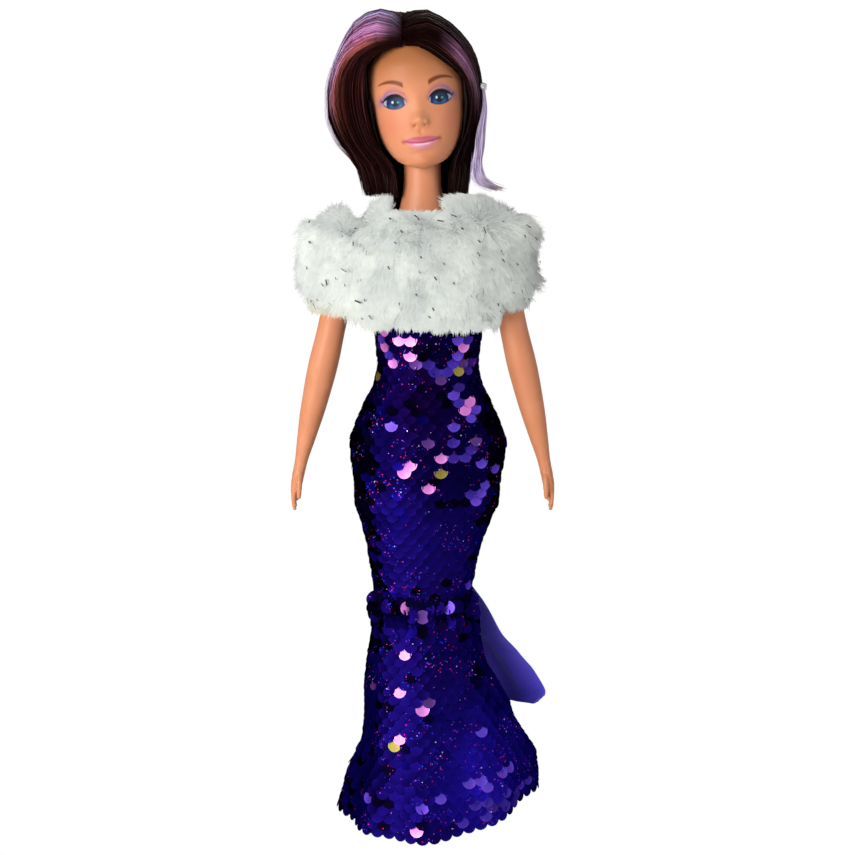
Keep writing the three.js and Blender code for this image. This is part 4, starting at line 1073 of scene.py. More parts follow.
class DOLL_OT_limbs(PieceMaker, bpy.types.Operator):
    """Make the arms with their hands, the legs, and the shoes"""

    bl_idname = "doll.limbs"
    bl_label = "Arms and legs"

    def execute(self, context):
        size = context.scene.doll_body
        skin = skin_vinyl(size)
        shoe = plastic_material("shoe_plastic", tuple(size.shoe), 0.14, 0.26, scale=1800.0)
        for side, name in ((1, "left"), (-1, "right")):
            arm = self.arm(side, name, size, skin)
            put_on(arm, f"{name}_arm", f"{name}_arm", slot="vinyl_skin")
            leg = self.leg(side, name, skin)
            put_on(leg, f"{name}_leg", f"{name}_leg", slot="vinyl_skin")
            pump = self.shoe(side, name, shoe)
            put_on(pump, f"{name}_leg", f"{name}_shoe", slot="shoe_plastic")
        return {"FINISHED"}

    def arm(self, side, name, size, skin):
        """An arm with its palm, four fingers and a thumb, joined into one skin."""
        heights = np.linspace(ARM[0][0], ARM[-1][0], 90)
        sections = section_at(ARM, heights)
        sections[:, 2] += 0.35 * hump(heights, ELBOW, 9)
        shapes = [closed_tube(oval_points(sections[:, None, :], round_angles(40)[None, :]))]
        # The palm from the fingers up: (height, how far in from the arm's line, reaches in, out, front and
        # back)
        palm = (
            (118.8, 0.5, 1.5, 1.3, 2.9, 2.9), (121.5, 0.2, 2.0, 1.7, 3.5, 3.4), (124.5, 0.0, 2.3, 2.0, 3.5, 3.3),
            (128.0, 0.0, 2.3, 2.1, 2.9, 2.8), (132.0, 0.0, 2.3, 2.3, 2.5, 2.5),
        )
        rows = [[height, arm_x(height) - inward, 0, *reaches] for height, inward, *reaches in palm]
        shapes.append(closed_tube(oval_rings(rows, np.linspace(rows[0][0], rows[-1][0], 24), 40, 2.3)))
        for k, tip in enumerate(FINGERTIPS):
            y = (k - 1.5) * size.finger_gap / MM
            middle = (118.5 + tip) / 2
            route = ((0.1, 0.9, 122), (0.35, 1, 118.5), (0.8, 0.97, middle), (1.7, 0.86, tip))
            places = [(inward, y * part, height) for inward, part, height in route]
            shapes.append(self.finger(places, 1.08, 0.68))
        route = [(0.6, -1.6, 127.5), (1.2, -3.6, 124.4), (1.9, -4.4, 121.0), (2.4, -4.2, 118.6)]
        shapes.append(self.finger(route, 1.35, 0.72))
        arm = new_piece(f"{name}_arm_skin", *joined(shapes), skin)
        even_out(arm, 0.3, 5)
        co = np.empty(len(arm.data.vertices) * 3, np.float32)
        arm.data.vertices.foreach_get("co", co)
        co = co.reshape(-1, 3)
        co[:, 0] = side * np.maximum(co[:, 0], ARM_INNER * MM)
        if side < 0:
            arm.data.flip_normals()
        arm.data.vertices.foreach_set("co", co.ravel())
        return arm

    def finger(self, route, thick, thin):
        """A finger along a route of (how far in from the arm's line, y, height)."""
        points = [[arm_x(height) - inward, y, height] for inward, y, height in route]
        return swept(curve_points(points, 14), np.linspace(thick, thin, 14))

    def leg(self, side, name, skin):
        """A leg with its toes and knee, rounded at the top about the hip's axle."""
        heights = np.concatenate([np.linspace(1.6, 24, 40), np.linspace(25, 151.4, 110)])
        x, y, z = np.moveaxis(oval_rings(LEG, heights, 56), -1, 0)
        toes = hump(z, 3, 2.5) * smooth_step(-y, 12, 15)
        y = y + 0.35 * toes * np.cos((x - FOOT_X) * 2 * math.pi / TOE_WIDTH)
        knee = hump(z, KNEE, 5) * smooth_step(-y, 2, 6)
        y = y - 0.35 * knee * hump(x, 7, 4)
        x = np.where(z > 125, np.maximum(x, THIGH_INNER), x)
        y = np.where(z > HIP, np.clip(y, -12.55, 12.55), y)
        top = HIP + np.sqrt(np.maximum(HIP_DRUM_RADIUS**2 - y**2, 0))
        z = np.where(z > HIP, np.minimum(z, top), z)
        points, faces = closed_tube(np.stack([x * side, y, z], axis=-1), turned=side < 0)
        return new_piece(f"{name}_leg_skin", points, faces, skin)

    def shoe(self, side, name, plastic):
        """A court shoe with a thin heel: a sole, a low upper round the toes, a counter, and the heel."""
        angles = round_angles(56)
        heights = np.linspace(1.2, 17, 40)
        share_up = ((heights - heights[0]) / (heights[-1] - heights[0]))[:, None]
        rings = []
        for growth, low in ((1.15, 0.0), (0.35, 1.15)):
            sections = grown(section_at(LEG, np.maximum(heights, 1.6)), growth)
            sections[:, 0] = heights
            sections[0, 0] = low
            ring = oval_points(sections[:, None, :], angles[None, :])
            y, base = ring[..., 1], ring[0, :, 2]
            throat = 6.5 + 9.5 * smooth_step(y, -5.5, 4.5) + 1.2 * smooth_step(-y, 12.5, 15.5)
            ring[..., 2] = base + (np.minimum(throat, 16.6) - base) * share_up
            at = grown(section_at(LEG, np.maximum(ring[..., 2], 1.6)), growth)
            ring[..., :2] = oval_points(at, np.broadcast_to(angles, ring.shape[:2]))[..., :2]
            rings.append(ring)
        outer, inner = rings
        upper = closed_tube(np.concatenate([outer, inner[::-1]]))
        route = curve_points([[FOOT_X, y, z] for y, z in ((5.1, 13.4), (5.0, 9.5), (4.4, 4.5), (4.1, 0.9))], 16)
        radii = np.interp(np.linspace(0, 1, 16), [0, 0.3, 0.75, 1], [3.0, 2.1, 1.5, 1.75])
        points, faces = joined([upper, swept(route, radii, sides=24)], turned=side < 0)
        points[:, 2] = np.maximum(points[:, 2], 0.0)
        points[:, 0] *= side
        return new_piece(f"{name}_pump", points, faces, plastic)


# The head


# Forms of the face: (how far out, height above the chin, its spread, place across, its spread), alike on
# both sides
FACE_FORMS = (
    (2.3, 16.1, 2.2, 0, 2.6),  # the nose's tip
    (0.75, 20.0, 3.9, 0, 2.5),  # its bridge
    (0.62, 15.3, 0.95, 2.35, 0.8),  # its wings
    (-0.55, 14.3, 0.42, 1.75, 0.5),  # the nostrils
    (-0.3, 12.4, 1.2, 0, 0.7),  # the groove over the lips
    (0.9, 8.4, 2.1, 0, 5.7),  # the mouth
    (-0.4, 9.4, 1.0, 6.4, 0.9),  # its corners
    (-0.4, 4.9, 1.0, 0, 3.6),  # under the lips
    (0.6, 2.2, 2.2, 0, 3.6),  # the chin
    (-1.0, 22.4, 3.3, 7.6, 4.2),  # the eyes' hollows
    (0.75, 22.4, 2.4, 7.7, 3.4),  # the eyes
    (0.35, 28.6, 1.8, 7.6, 5.0),  # the brows
    (0.5, 16.0, 5.0, 10.0, 4.5),  # the cheeks
)
# The lips' forms, with heights above the line between them
LIP_FORMS = ((0.42, 0.95, 0.8, 0, 4.2), (0.62, -1.3, 1.0, 0, 3.6))
MOUTH_HEIGHT = 8.45


def lip_line(x, height=MOUTH_HEIGHT):
    """How high the line between the lips is."""
    return height + 0.9 * (x / 6) ** 2


def face_relief(x, z):
    """How far the face stands out from the plain head, in millimetres, at a place across and above the chin."""
    side, line = np.abs(x), lip_line(x)
    relief = -0.5 * hump(z, line, 0.3) * smooth_step(side, 6.6, 4.6)
    relief += 0.3 * hump(z, 26.1 - 0.03 * (side - 7.8) ** 2, 0.75) * hump(side, 7.8, 3.8)
    for forms, base in ((FACE_FORMS, 0), (LIP_FORMS, line)):
        for out, height, tall, across, wide in forms:
            relief += out * hump(z, base + height, tall) * hump(side, across, wide)
    return relief


def soft_edge(distance, softness=0.22):
    """1 inside, where the distance is below 0, and 0 outside."""
    return np.clip(0.5 - distance / softness, 0, 1)


class FacePaint:
    """Layers of paint on the face, at places across and above the chin, and how glossy each place is."""

    def __init__(self, x, z, face, skin):
        self.x, self.z, self.side = x, z, np.abs(x)
        self.face = face
        self.paint = np.tile(rgb(skin), (len(x), 1))
        self.shine = np.zeros(len(x))
        self.skin_tones()
        self.lips()
        self.eyes()
        self.brows()

    def lay(self, mask, tone, gloss=None):
        """A layer of a colour, which is written as #rrggbb or in linear values."""
        mask = np.clip(mask, 0, 1)
        tone = rgb(hex_colour(tone)) if isinstance(tone, str) else np.asarray(tone)[..., :3]
        self.paint = self.paint * (1 - mask[:, None]) + tone * mask[:, None]
        if gloss is not None:
            self.shine = self.shine * (1 - mask) + gloss * mask

    def patch(self, strength, height, tall, across, wide, tone):
        """A soft patch of colour, on both sides where its place across is over 0."""
        self.lay(strength * hump(self.z, height, tall) * hump(self.side, across, wide), tone)

    def skin_tones(self):
        """Blush, a darker chin, painted shade round the nose and mouth, painted shade of the hair on the
        forehead, and a painted light beside the nose.
        """
        self.patch(0.34, 15, 4.8, 10.8, 4.2, self.face.blush)
        self.patch(0.35, 2.0, 3.2, 0, 6.0, "#b86840")
        # Painted shade round the nose's wings and in the nostrils.
        self.patch(0.3, 14.3, 1.6, 2.9, 0.9, "#c0683c")
        self.patch(0.42, 14.35, 0.42, 1.9, 0.55, "#8a4a2c")
        # Painted light on the side of the nose away from the key lamp.
        self.lay(0.28 * hump(self.z, 16.4, 1.9) * hump(self.x, 2.2, 1.3), "#f4b48c")
        # Painted shade in the groove over the lips and in the mouth's corners.
        self.patch(0.3, 11.6, 1.4, 0, 0.8, "#c47a58")
        self.patch(0.75, 9.35, 0.7, 6.3, 0.8, "#a84a30")
        # Painted shade of the hair over the forehead.
        self.lay(0.8 * smooth_step(self.z, 24, 38), "#aa6838")

    def lips(self):
        """An upper lip with its bow, a paler lower lip with a painted highlight on it, and the dark line between
        them.
        """
        x, z, side = self.x, self.z, self.side
        line = lip_line(x, self.face.mouth_height / MM)
        half = self.face.mouth_half_width / MM
        top = line + 2.2 * np.clip(1 - (x / half) ** 2, 0, 1) ** 0.85 - 0.32 * hump(x, 0, 0.75)
        lower_half = 0.84 * half
        low = line - 2.05 * np.clip(1 - (x / lower_half) ** 2, 0, 1) ** 0.7
        upper = soft_edge(np.maximum(z - top, line - z), 0.3) * (side < half)
        lower = soft_edge(np.maximum(low - z, z - line), 0.35) * (side < lower_half)
        self.lay(0.92 * upper, self.face.lips, 0.55)
        self.lay(0.9 * lower, 0.45 * rgb(self.face.lips) + 0.55 * rgb(hex_colour("#e8a0b8")), 0.6)
        # A painted highlight along the lower lip.
        self.lay(0.85 * hump(z, line - 0.42, 0.26) * smooth_step(side, 4.0, 1.8), "#f6dfea", 0.6)
        self.lay(0.75 * hump(z, line + 0.1, 0.16) * smooth_step(side, half + 0.5, half - 1.0), "#8e2c44")

    def eyes(self):
        """Eye shadow, whites, irises with their printed catch-lights that are painted highlights as well, a
        painted shade of the upper lid on each iris, lash lines and the flicks at the outer corners.
        """
        side, z, face = self.side, self.z, self.face
        eye_x, eye_z, corner = (size / MM for size in (face.eye_side, face.eye_height, face.eye_half_width))
        tilt = math.radians(5.0)
        dx, dz = side - (eye_x + 0.35), z - (eye_z + 0.3)
        p = dx * math.cos(tilt) + dz * math.sin(tilt)
        q = -dx * math.sin(tilt) + dz * math.cos(tilt)
        room = np.clip(1 - (p / corner) ** 2, 0, 1)
        lid, low = 2.95 * room**0.6, -2.0 * room**0.72
        thick = (0.5 + 0.95 * room) * (1 + 0.3 * p / corner)
        inside = np.abs(p) < corner
        above = q - np.where(inside, lid, 0.2)

        rosy, violet = rgb(hex_colour("#b4606c")), rgb(face.shadow)
        strength = 0.85 * smooth_step(above, 3.0, 0.2) * smooth_step(above, -0.5, 0.2)
        strength *= smooth_step(np.abs(p), 5.6, 3.6)
        self.lay(strength, rosy + (violet - rosy) * smooth_step(p, -1.5, 3.2)[:, None])
        self.lay(0.6 * hump(p, corner + 0.6, 1.2) * hump(q, 0.2, 1.7), violet)
        light = hump(above, 0.42, 0.2) * smooth_step(p, 3.6, 1.6) * smooth_step(p, -4.2, -3.4)
        self.lay(0.3 * light, "#eccfc6")

        opening = soft_edge(np.maximum(q - lid, low - q)) * inside
        ix, iz = side - eye_x, z - eye_z
        radius = np.hypot(ix, iz) / (face.iris_radius / MM)
        iris = soft_edge((radius - 1) * 2.15)
        true_x = self.x - np.sign(self.x) * eye_x
        glow = smooth_step(-iz, -0.4, 1.2) * hump(radius, 0.62, 0.2)
        # Printed catch-lights, the white one on the side of both irises towards the key lamp, so painted
        # highlights as well.
        catchlight = soft_edge(np.hypot((true_x + 0.95) / 0.8, iz - 0.55) - 0.42)
        second_catchlight = soft_edge(np.hypot((true_x - 0.9) / 1.3, iz - 0.35) - 0.3)
        for mask, tone in (
            (1, "#a6aec0"),
            (iris, face.iris_rim),
            (0.9 * soft_edge((radius - 0.74) * 2.15, 0.7), face.iris),
            (0.6 * glow, "#2a7cb4"),
            # Painted shade of the upper lid over the top of the iris.
            (0.7 * smooth_step(iz, -0.3, 2.0) * iris, "#071a3c"),
            (soft_edge((radius - 0.34) * 2.4, 0.4), "#03050f"),
            (catchlight, "#e4f2ff"),
            (0.8 * second_catchlight, "#5cb0b0"),
        ):
            self.lay(opening * mask, tone, 0.3)

        self.lay(soft_edge(np.maximum(q - lid, lid - thick - q), 0.3) * inside, face.lashes, 0.6)
        under = hump(q, low, 0.26) * inside * smooth_step(np.abs(p), corner, corner - 0.6)
        self.lay(0.95 * under, "#161a48", 0.5)
        flick = hump(q - 0.1 - 0.7 * (p - corner + 0.4), 0, 0.3)
        flick *= smooth_step(p, corner - 0.7, corner - 0.2) * smooth_step(p, corner + 1.0, corner + 0.3)
        self.lay(0.9 * flick, face.lashes, 0.4)

    def brows(self):
        """Arched brows that thin out towards the temples, with a hint of single hairs."""
        side, z = self.side, self.z
        s = np.clip((side - 4.2) / 8.8, 0, 1)
        middle = 28.0 + 5.6 * s - 4.8 * s * s
        width = 0.72 * (1 - s) ** 0.7 + 0.12
        hairs = 0.92 + 0.05 * np.sin(side * 9 + z * 4)
        ends = smooth_step(side, 3.9, 4.7) * smooth_step(side, 13.2, 12.4)
        self.lay(hairs * soft_edge(np.abs(z - middle) - width, 0.55) * ends, self.face.brow)


def head_place(points):
    """Points about the head's joint, leant as the head leans and put in place."""
    x, y, z = np.moveaxis(points, -1, 0)
    c, s = math.cos(HEAD_LEAN), math.sin(HEAD_LEAN)
    return np.stack([x * c - z * s, y, x * s + z * c], axis=-1) + HEAD_JOINT


class DOLL_OT_head(PieceMaker, bpy.types.Operator):
    """Make the head with its painted face"""

    bl_idname = "doll.head"
    bl_label = "Head and face"

    def execute(self, context):
        scene = context.scene
        neck_recess, recess_top = 8.1, -4.7
        rows = []
        for up, wide, face, skull in HEAD:
            front, back, half = 17.4 * face, 17.6 * skull, 16.9 * wide
            depth = (front + back) / 2
            rows.append([HEAD_HEIGHT * up, 0, (back - front) / 2, half, half, depth, depth])
        under_chin = [-0.5, *rows[0][1:3], *(0.35 * reach for reach in rows[0][3:])]
        heights = np.concatenate([
            np.linspace(-0.5, 0, 5), np.linspace(0, 5, 26)[1:], np.linspace(5, 31.5, 140)[1:],
            np.linspace(31.5, HEAD_HEIGHT, 40)[1:],
        ])
        angles = np.concatenate([np.linspace(-1.3, 1.3, 240), np.linspace(1.3, 2 * math.pi - 1.3, 64)[1:-1]])
        points = oval_points(section_at([under_chin, *rows], heights)[:, None, :], angles[None, :])
        x, y, z = np.moveaxis(points, -1, 0)
        y = y - face_relief(x, z) * smooth_step(-y, 1.5, 7)
        paint = FacePaint(x.ravel(), z.ravel(), scene.doll_face, scene.doll_body.skin)
        z = z - CHIN_DROP
        z = np.where((np.hypot(x, y) < neck_recess) & (z < -3), np.maximum(z, recess_top), z)
        points, faces = closed_tube(head_place(np.stack([x, y, z], axis=-1)))
        material = face_vinyl()
        head = new_piece("head_vinyl", points, faces, material)
        back = np.broadcast_to(np.cos(angles)[None, :] < 0.1, y.shape).ravel()
        paint.paint[back] = rgb(scene.doll_body.skin)
        paint.shine[back] = 0
        tint(head, paint.paint)
        measure(head, paint.shine)
        put_on(head, "head", "head", slot="vinyl_skin")
        return {"FINISHED"}


# The gown


def gown_points(heights, angles, growth=0.0):
    """Places on the gown's bodice and skirt above the knee seam."""
    heights, angles = np.broadcast_arrays(heights, angles)
    return oval_points(grown(section_at(GOWN, heights), growth), angles)


FOLDS = 9
GATHERS = 34
LIFT_MIDDLE = math.radians(72)
LIFT_SPREAD = math.radians(74)


def hem_rise(heights, angles, lift):
    """How far the flounce is lifted at a place, most at the doll's front left."""
    turn = (angles - LIFT_MIDDLE + math.pi) % (2 * math.pi) - math.pi
    off = np.clip(np.abs(turn) / LIFT_SPREAD, 0, 1)
    return lift * (1 + np.cos(math.pi * off)) / 2 * (1 - heights / KNEE_SEAM) ** 2


def flounce_points(heights, angles, growth, size):
    """Places on the flounce below the knee seam, with its folds and the gathers under the seam."""
    heights, angles = np.broadcast_arrays(heights, angles)
    fold = size.fold_depth / MM * np.clip(1 - heights / KNEE_SEAM, 0, 1) ** 1.5 * np.cos(FOLDS * angles)
    fold = fold + 0.5 * hump(heights, 78, 7) * np.cos(GATHERS * angles)
    points = oval_points(grown(section_at(FLOUNCE, heights), (growth + fold)[..., None]), angles)
    points[..., 2] += hem_rise(heights, angles, size.hem_lift / MM)
    return points


def tube_piece(name, make, heights, columns, material):
    """A tube of thin knit inside the sequins, with an inside, an outside and closed edges."""
    depth, thick = 0.75, 0.35
    angles = round_angles(columns)[None, :]
    outside = make(heights[:, None], angles, -depth)
    inside = make(heights[:, None], angles, -depth - thick)
    inside[..., 2] = outside[..., 2]
    points = np.concatenate([outside, inside[::-1]])
    faces = grid_faces(len(points) + 1, columns) % (len(points) * columns)
    return new_piece(name, points, faces, material)


def brick_rows(make, heights, pitch):
    """Evenly spaced places round each row, every other row shifted: heights and angles."""
    places = []
    fine = np.linspace(0, 2 * math.pi, 721)
    for row, height in enumerate(heights):
        along = distances(make(np.full(len(fine), height), fine, 0.0))
        number = int(round(along[-1] / pitch))
        wanted = (np.arange(number) + 0.5 * (row % 2)) / number * along[-1]
        places.append(np.column_stack([np.full(number, height), np.interp(wanted, along, fine)]))
    return np.concatenate(places)


def frames_on(make, places, growth):
    """Points on a surface with the outward, downward and sideways directions there."""
    heights, angles = places.T
    here = make(heights, angles, growth)
    round_it = make(heights, angles + 0.02, growth) - make(heights, angles - 0.02, growth)
    up = make(heights + 0.4, angles, growth) - make(heights - 0.4, angles, growth)
    out = unit(np.cross(round_it, up))
    down = unit(-up)
    return here, out, down, np.cross(down, out)


PLUM = np.array([2.2, 0.6, 0.55])


def sequin_shades(points, size, rng):
    """A colour for each sequin, by its place on the gown and by chance, with painted shade and highlights among
    those set by place.
    """
    tone = {key: rgb(getattr(size, key)) for key in ("indigo", "night", "blue", "violet", "pink", "gold")}
    number = len(points)
    x, y, z = points.T
    chance = rng.random(number)
    drift = bumpiness(points, 14.0, 3)
    behind = smooth_step(y, 2, 8)
    # Painted shade: the sequins darker above the hips, lightest on the thighs, and a little darker again below
    # the knee.
    level = 0.3 + 0.44 * smooth_step(z, 132, 108) - 0.1 * smooth_step(z, 84, 76)
    level = (level * (1 + 0.3 * drift) * (0.84 + 0.32 * rng.random(number)))[:, None]
    shades = tone["indigo"] * level
    plum = 0.7 * hump(x, -1, 9) * hump(z, 160, 22) * (y < 0)
    shades += (tone["indigo"] * PLUM * level - shades) * plum[:, None]

    def choose(mask, colour_, least, most):
        shades[mask] = colour_ * (least + (most - least) * rng.random((int(mask.sum()), 1)))

    choose(chance < 0.1 - 0.2 * drift, tone["night"], 0.6, 1.3)
    choose((chance > 0.6) & (chance < 0.66 + 0.2 * drift), tone["blue"], 0.25, 0.5)
    # Painted highlights: patches of violet flashes at the front, and a brighter blue light over the hem at the
    # front of the doll's left.
    violet = hump(x, 15, 6) * hump(z, 160, 20) + 0.7 * hump(x, 22, 5) * hump(z, 122, 9)
    violet += 1.1 * hump(x, 27, 11) * hump(z, 12, 8) + 0.3 * hump(x, -9, 5) * hump(z, 172, 6)
    painted_hem_light = hump(x, 20, 14) * hump(z, 22, 20) * (0.5 + 0.4 * rng.random(number)) * (y < 10)
    shades += (tone["blue"] * 1.4 - shades) * painted_hem_light[:, None]
    choose((chance > 1 - 0.45 * violet) & (y < 4), 0.45 * tone["violet"] + 0.55 * tone["blue"], 0.4, 0.95)
    # Painted shade: the sides of the gown turned nearly black.
    edge = smooth_step(-x, 13, 20) * (z > 60) + smooth_step(x, 20, 26) * (z > 100)
    choose(rng.random(number) < 0.85 * edge, tone["night"], 0.3, 1.2)
    rare = rng.random(number) * (0.25 + 0.75 * behind)
    choose(rare > 0.98, tone["pink"], 0.6, 1.0)
    choose((rare > 0.965) & (rare < 0.972), tone["gold"], 0.45, 1.1)
    choose((rare > 0.94) & (rare < 0.965), tone["violet"], 0.5, 0.9)
    return shades


# Places of single sequins as seen from the front, [x, height]: the bright pink and violet ones and the dim ones
# are painted flashes of reflected light, the gold ones are turned to their gold side
PINK_PLACES = [
    [-14.3, 177.3], [-6.6, 175], [-4.5, 173.9], [14.8, 172.5], [-12.8, 172.4], [-5.7, 168.1], [-11.8, 166],
    [14.9, 151.4], [17.8, 153.2], [5.6, 131], [-6.2, 129.2], [-8.5, 126.2], [0.6, 121], [-6.2, 75.6],
    [-8.6, 57.4], [-10.2, 42.4], [-0.3, 33.1], [-8.1, 25.6], [-2.5, -12],
]
GOLD_PLACES = [[-15.6, 161.3], [12.7, 162.8], [6.6, 125.4], [-10.7, 20.8]]
VIOLET_PLACES = [
    [13.6, 176.2], [-14.7, 176], [12.6, 170.1], [14.5, 163.9], [10.9, 155.1], [13.5, 149.5], [19.6, 149.9],
    [17.1, 147.2], [11.4, 142.7], [-10.4, 144.9], [21.2, 130.4], [22.3, 122.5], [25.2, 127], [21.6, 118.2],
    [20.9, 115.3], [16.1, 83.9], [8.5, 74.7], [22, 26.9], [28.4, 10.4], [31.9, 12.1], [19.5, 5.9],
    [22.1, 7.4], [24.8, 5.1], [-21.1, 1], [0.2, -4.6], [5.1, -0.8],
]
DIM_PLACES = [
    [-1.6, 164.5], [7.9, 160.9], [0.9, 137.9], [20.8, 137.9], [14.5, 166.9], [13, 170.2], [1.3, 71.4],
    [-18.3, 45.4], [-9.6, 41], [0.3, 39.4],
]


def paint_near(points, shades, wanted, tone):
    """Gives the sequins that the camera sees nearest to the wanted places a colour."""
    hang, farthest = 1.2, 3.4
    eye = np.array(bpy.context.scene.camera.location) / MM
    front = np.where(points[:, 1] < 0)[0]
    seen = eye + (points[front] - eye) * (eye[1] / (eye[1] - points[front, 1]))[:, None]
    for x, z in wanted:
        gap = np.hypot(seen[:, 0] - x, seen[:, 2] - z - hang)
        nearest = np.argmin(gap)
        if gap[nearest] < farthest:
            shades[front[nearest]] = tone


def sequin_piece(name, make, places, size, rng, stand, lean, floor=0.0):
    """Round dished sequins, each sewn on at its middle and leaning a little out at the bottom."""
    here, out, down, side = frames_on(make, places, 0.0)
    number, sides = len(here), 16
    angle = np.radians(lean + rng.normal(0, 1.6, number))[:, None]
    roll = np.radians(rng.normal(0, 2.2, number))[:, None]
    fall = unit(down * np.cos(angle) + out * np.sin(angle))
    across = unit(side * np.cos(roll) + out * np.sin(roll))
    face = unit(np.cross(across, fall))
    face *= np.sign(np.sum(face * out, axis=1, keepdims=True)) * size.dish / MM
    radius = size.sequin_radius / MM * (1 + rng.normal(0, 0.015, number))
    here = here + out * (stand + rng.random(number) * 0.1)[:, None]
    turn = round_angles(sides)[None, :, None]
    ring = (np.cos(turn) * fall[:, None, :] + np.sin(turn) * across[:, None, :]) * radius[:, None, None]
    middle, face = here[:, None, :], face[:, None, :]
    points = np.concatenate([middle - face, middle + 0.62 * ring - 0.66 * face, middle + ring], axis=1)
    points[..., 2] = np.maximum(points[..., 2], floor)
    k = np.arange(sides)
    following = (k + 1) % sides
    fan = np.column_stack([0 * k[::2], 1 + k[::2], 1 + following[::2], 1 + (k[::2] + 2) % sides])
    band = np.column_stack([1 + k, 1 + sides + k, 1 + sides + following, 1 + following])
    faces = np.concatenate([fan, band])[None] + np.arange(number)[:, None, None] * (1 + 2 * sides)
    piece = new_piece(name, points, faces.reshape(-1, 4), sequin_material("sequin_film"))
    shades = sequin_shades(here, size, rng)
    pink, violet, gold = rgb(size.pink), rgb(size.violet), rgb(size.gold)
    # Painted flashes of reflected light at the listed places, and gold sides at theirs.
    paint_near(here, shades, DIM_PLACES, 0.35 * (0.3 * pink + 0.7 * violet))
    paint_near(here, shades, VIOLET_PLACES, 0.9 * violet)
    paint_near(here, shades, PINK_PLACES, pink)
    paint_near(here, shades, GOLD_PLACES, 0.9 * gold)
    # Painted shade and highlight: each sequin darker in its middle and lighter at its rim.
    level = np.repeat([0.86, 0.92, 1.1], [1, sides, sides])
    tint(piece, shades[:, None, :] * level[None, :, None])
    return piece


CLOSURE_FOOT = 157


class DOLL_OT_gown(PieceMaker, bpy.types.Operator):
    """Make the gown's knit and sequins from the neckline to the knee seam"""

    bl_idname = "doll.gown"
    bl_label = "Gown"

    def execute(self, context):
        size = context.scene.doll_gown
        rng = np.random.default_rng(11)
        shade = (0.001, 0.0005, 0.006, 1)
        tone, threads = tuple(size.knit), (5200, 5200)
        knit = cloth_material("gown_knit", tone, shade, threads, 0.5, 0.75, sheen=0, specular=0)
        tube = tube_piece("gown_knit", gown_points, np.linspace(KNEE + 0.15, GOWN_TOP - 0.2, 90), 128, knit)
        places = brick_rows(gown_points, np.arange(84.4, 195.5, size.row_pitch / MM), size.sequin_pitch / MM)
        closing = (np.abs(places[:, 1] - math.pi) < 0.16) & (places[:, 0] > CLOSURE_FOOT)
        sequins = sequin_piece("gown_sequins", gown_points, places[~closing], size, rng, -0.3, 8.5, 81.6)
        for piece in (tube, sequins):
            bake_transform(piece)
        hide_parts("dress_body")
        dark, threads = hex_colour("#0a0620"), (7000, 7000)
        tape = cloth_material("closure_tape", hex_colour("#1c1448"), dark, threads, 0.6, 0.85)
        for node in ("dress_hook_strip", "dress_loop_strip"):
            finish_node(node, tape)
        return {"FINISHED"}


# The train from the seam down: (drop share, flare share), between two angles from the front
TRAIN_FLARE = ((0, 0), (0.13, 0.22), (0.39, 0.5), (0.57, 0.85), (0.73, 0.97), (0.93, 1), (1, 0.8))
TRAIN_START = 106
TRAIN_END = 160


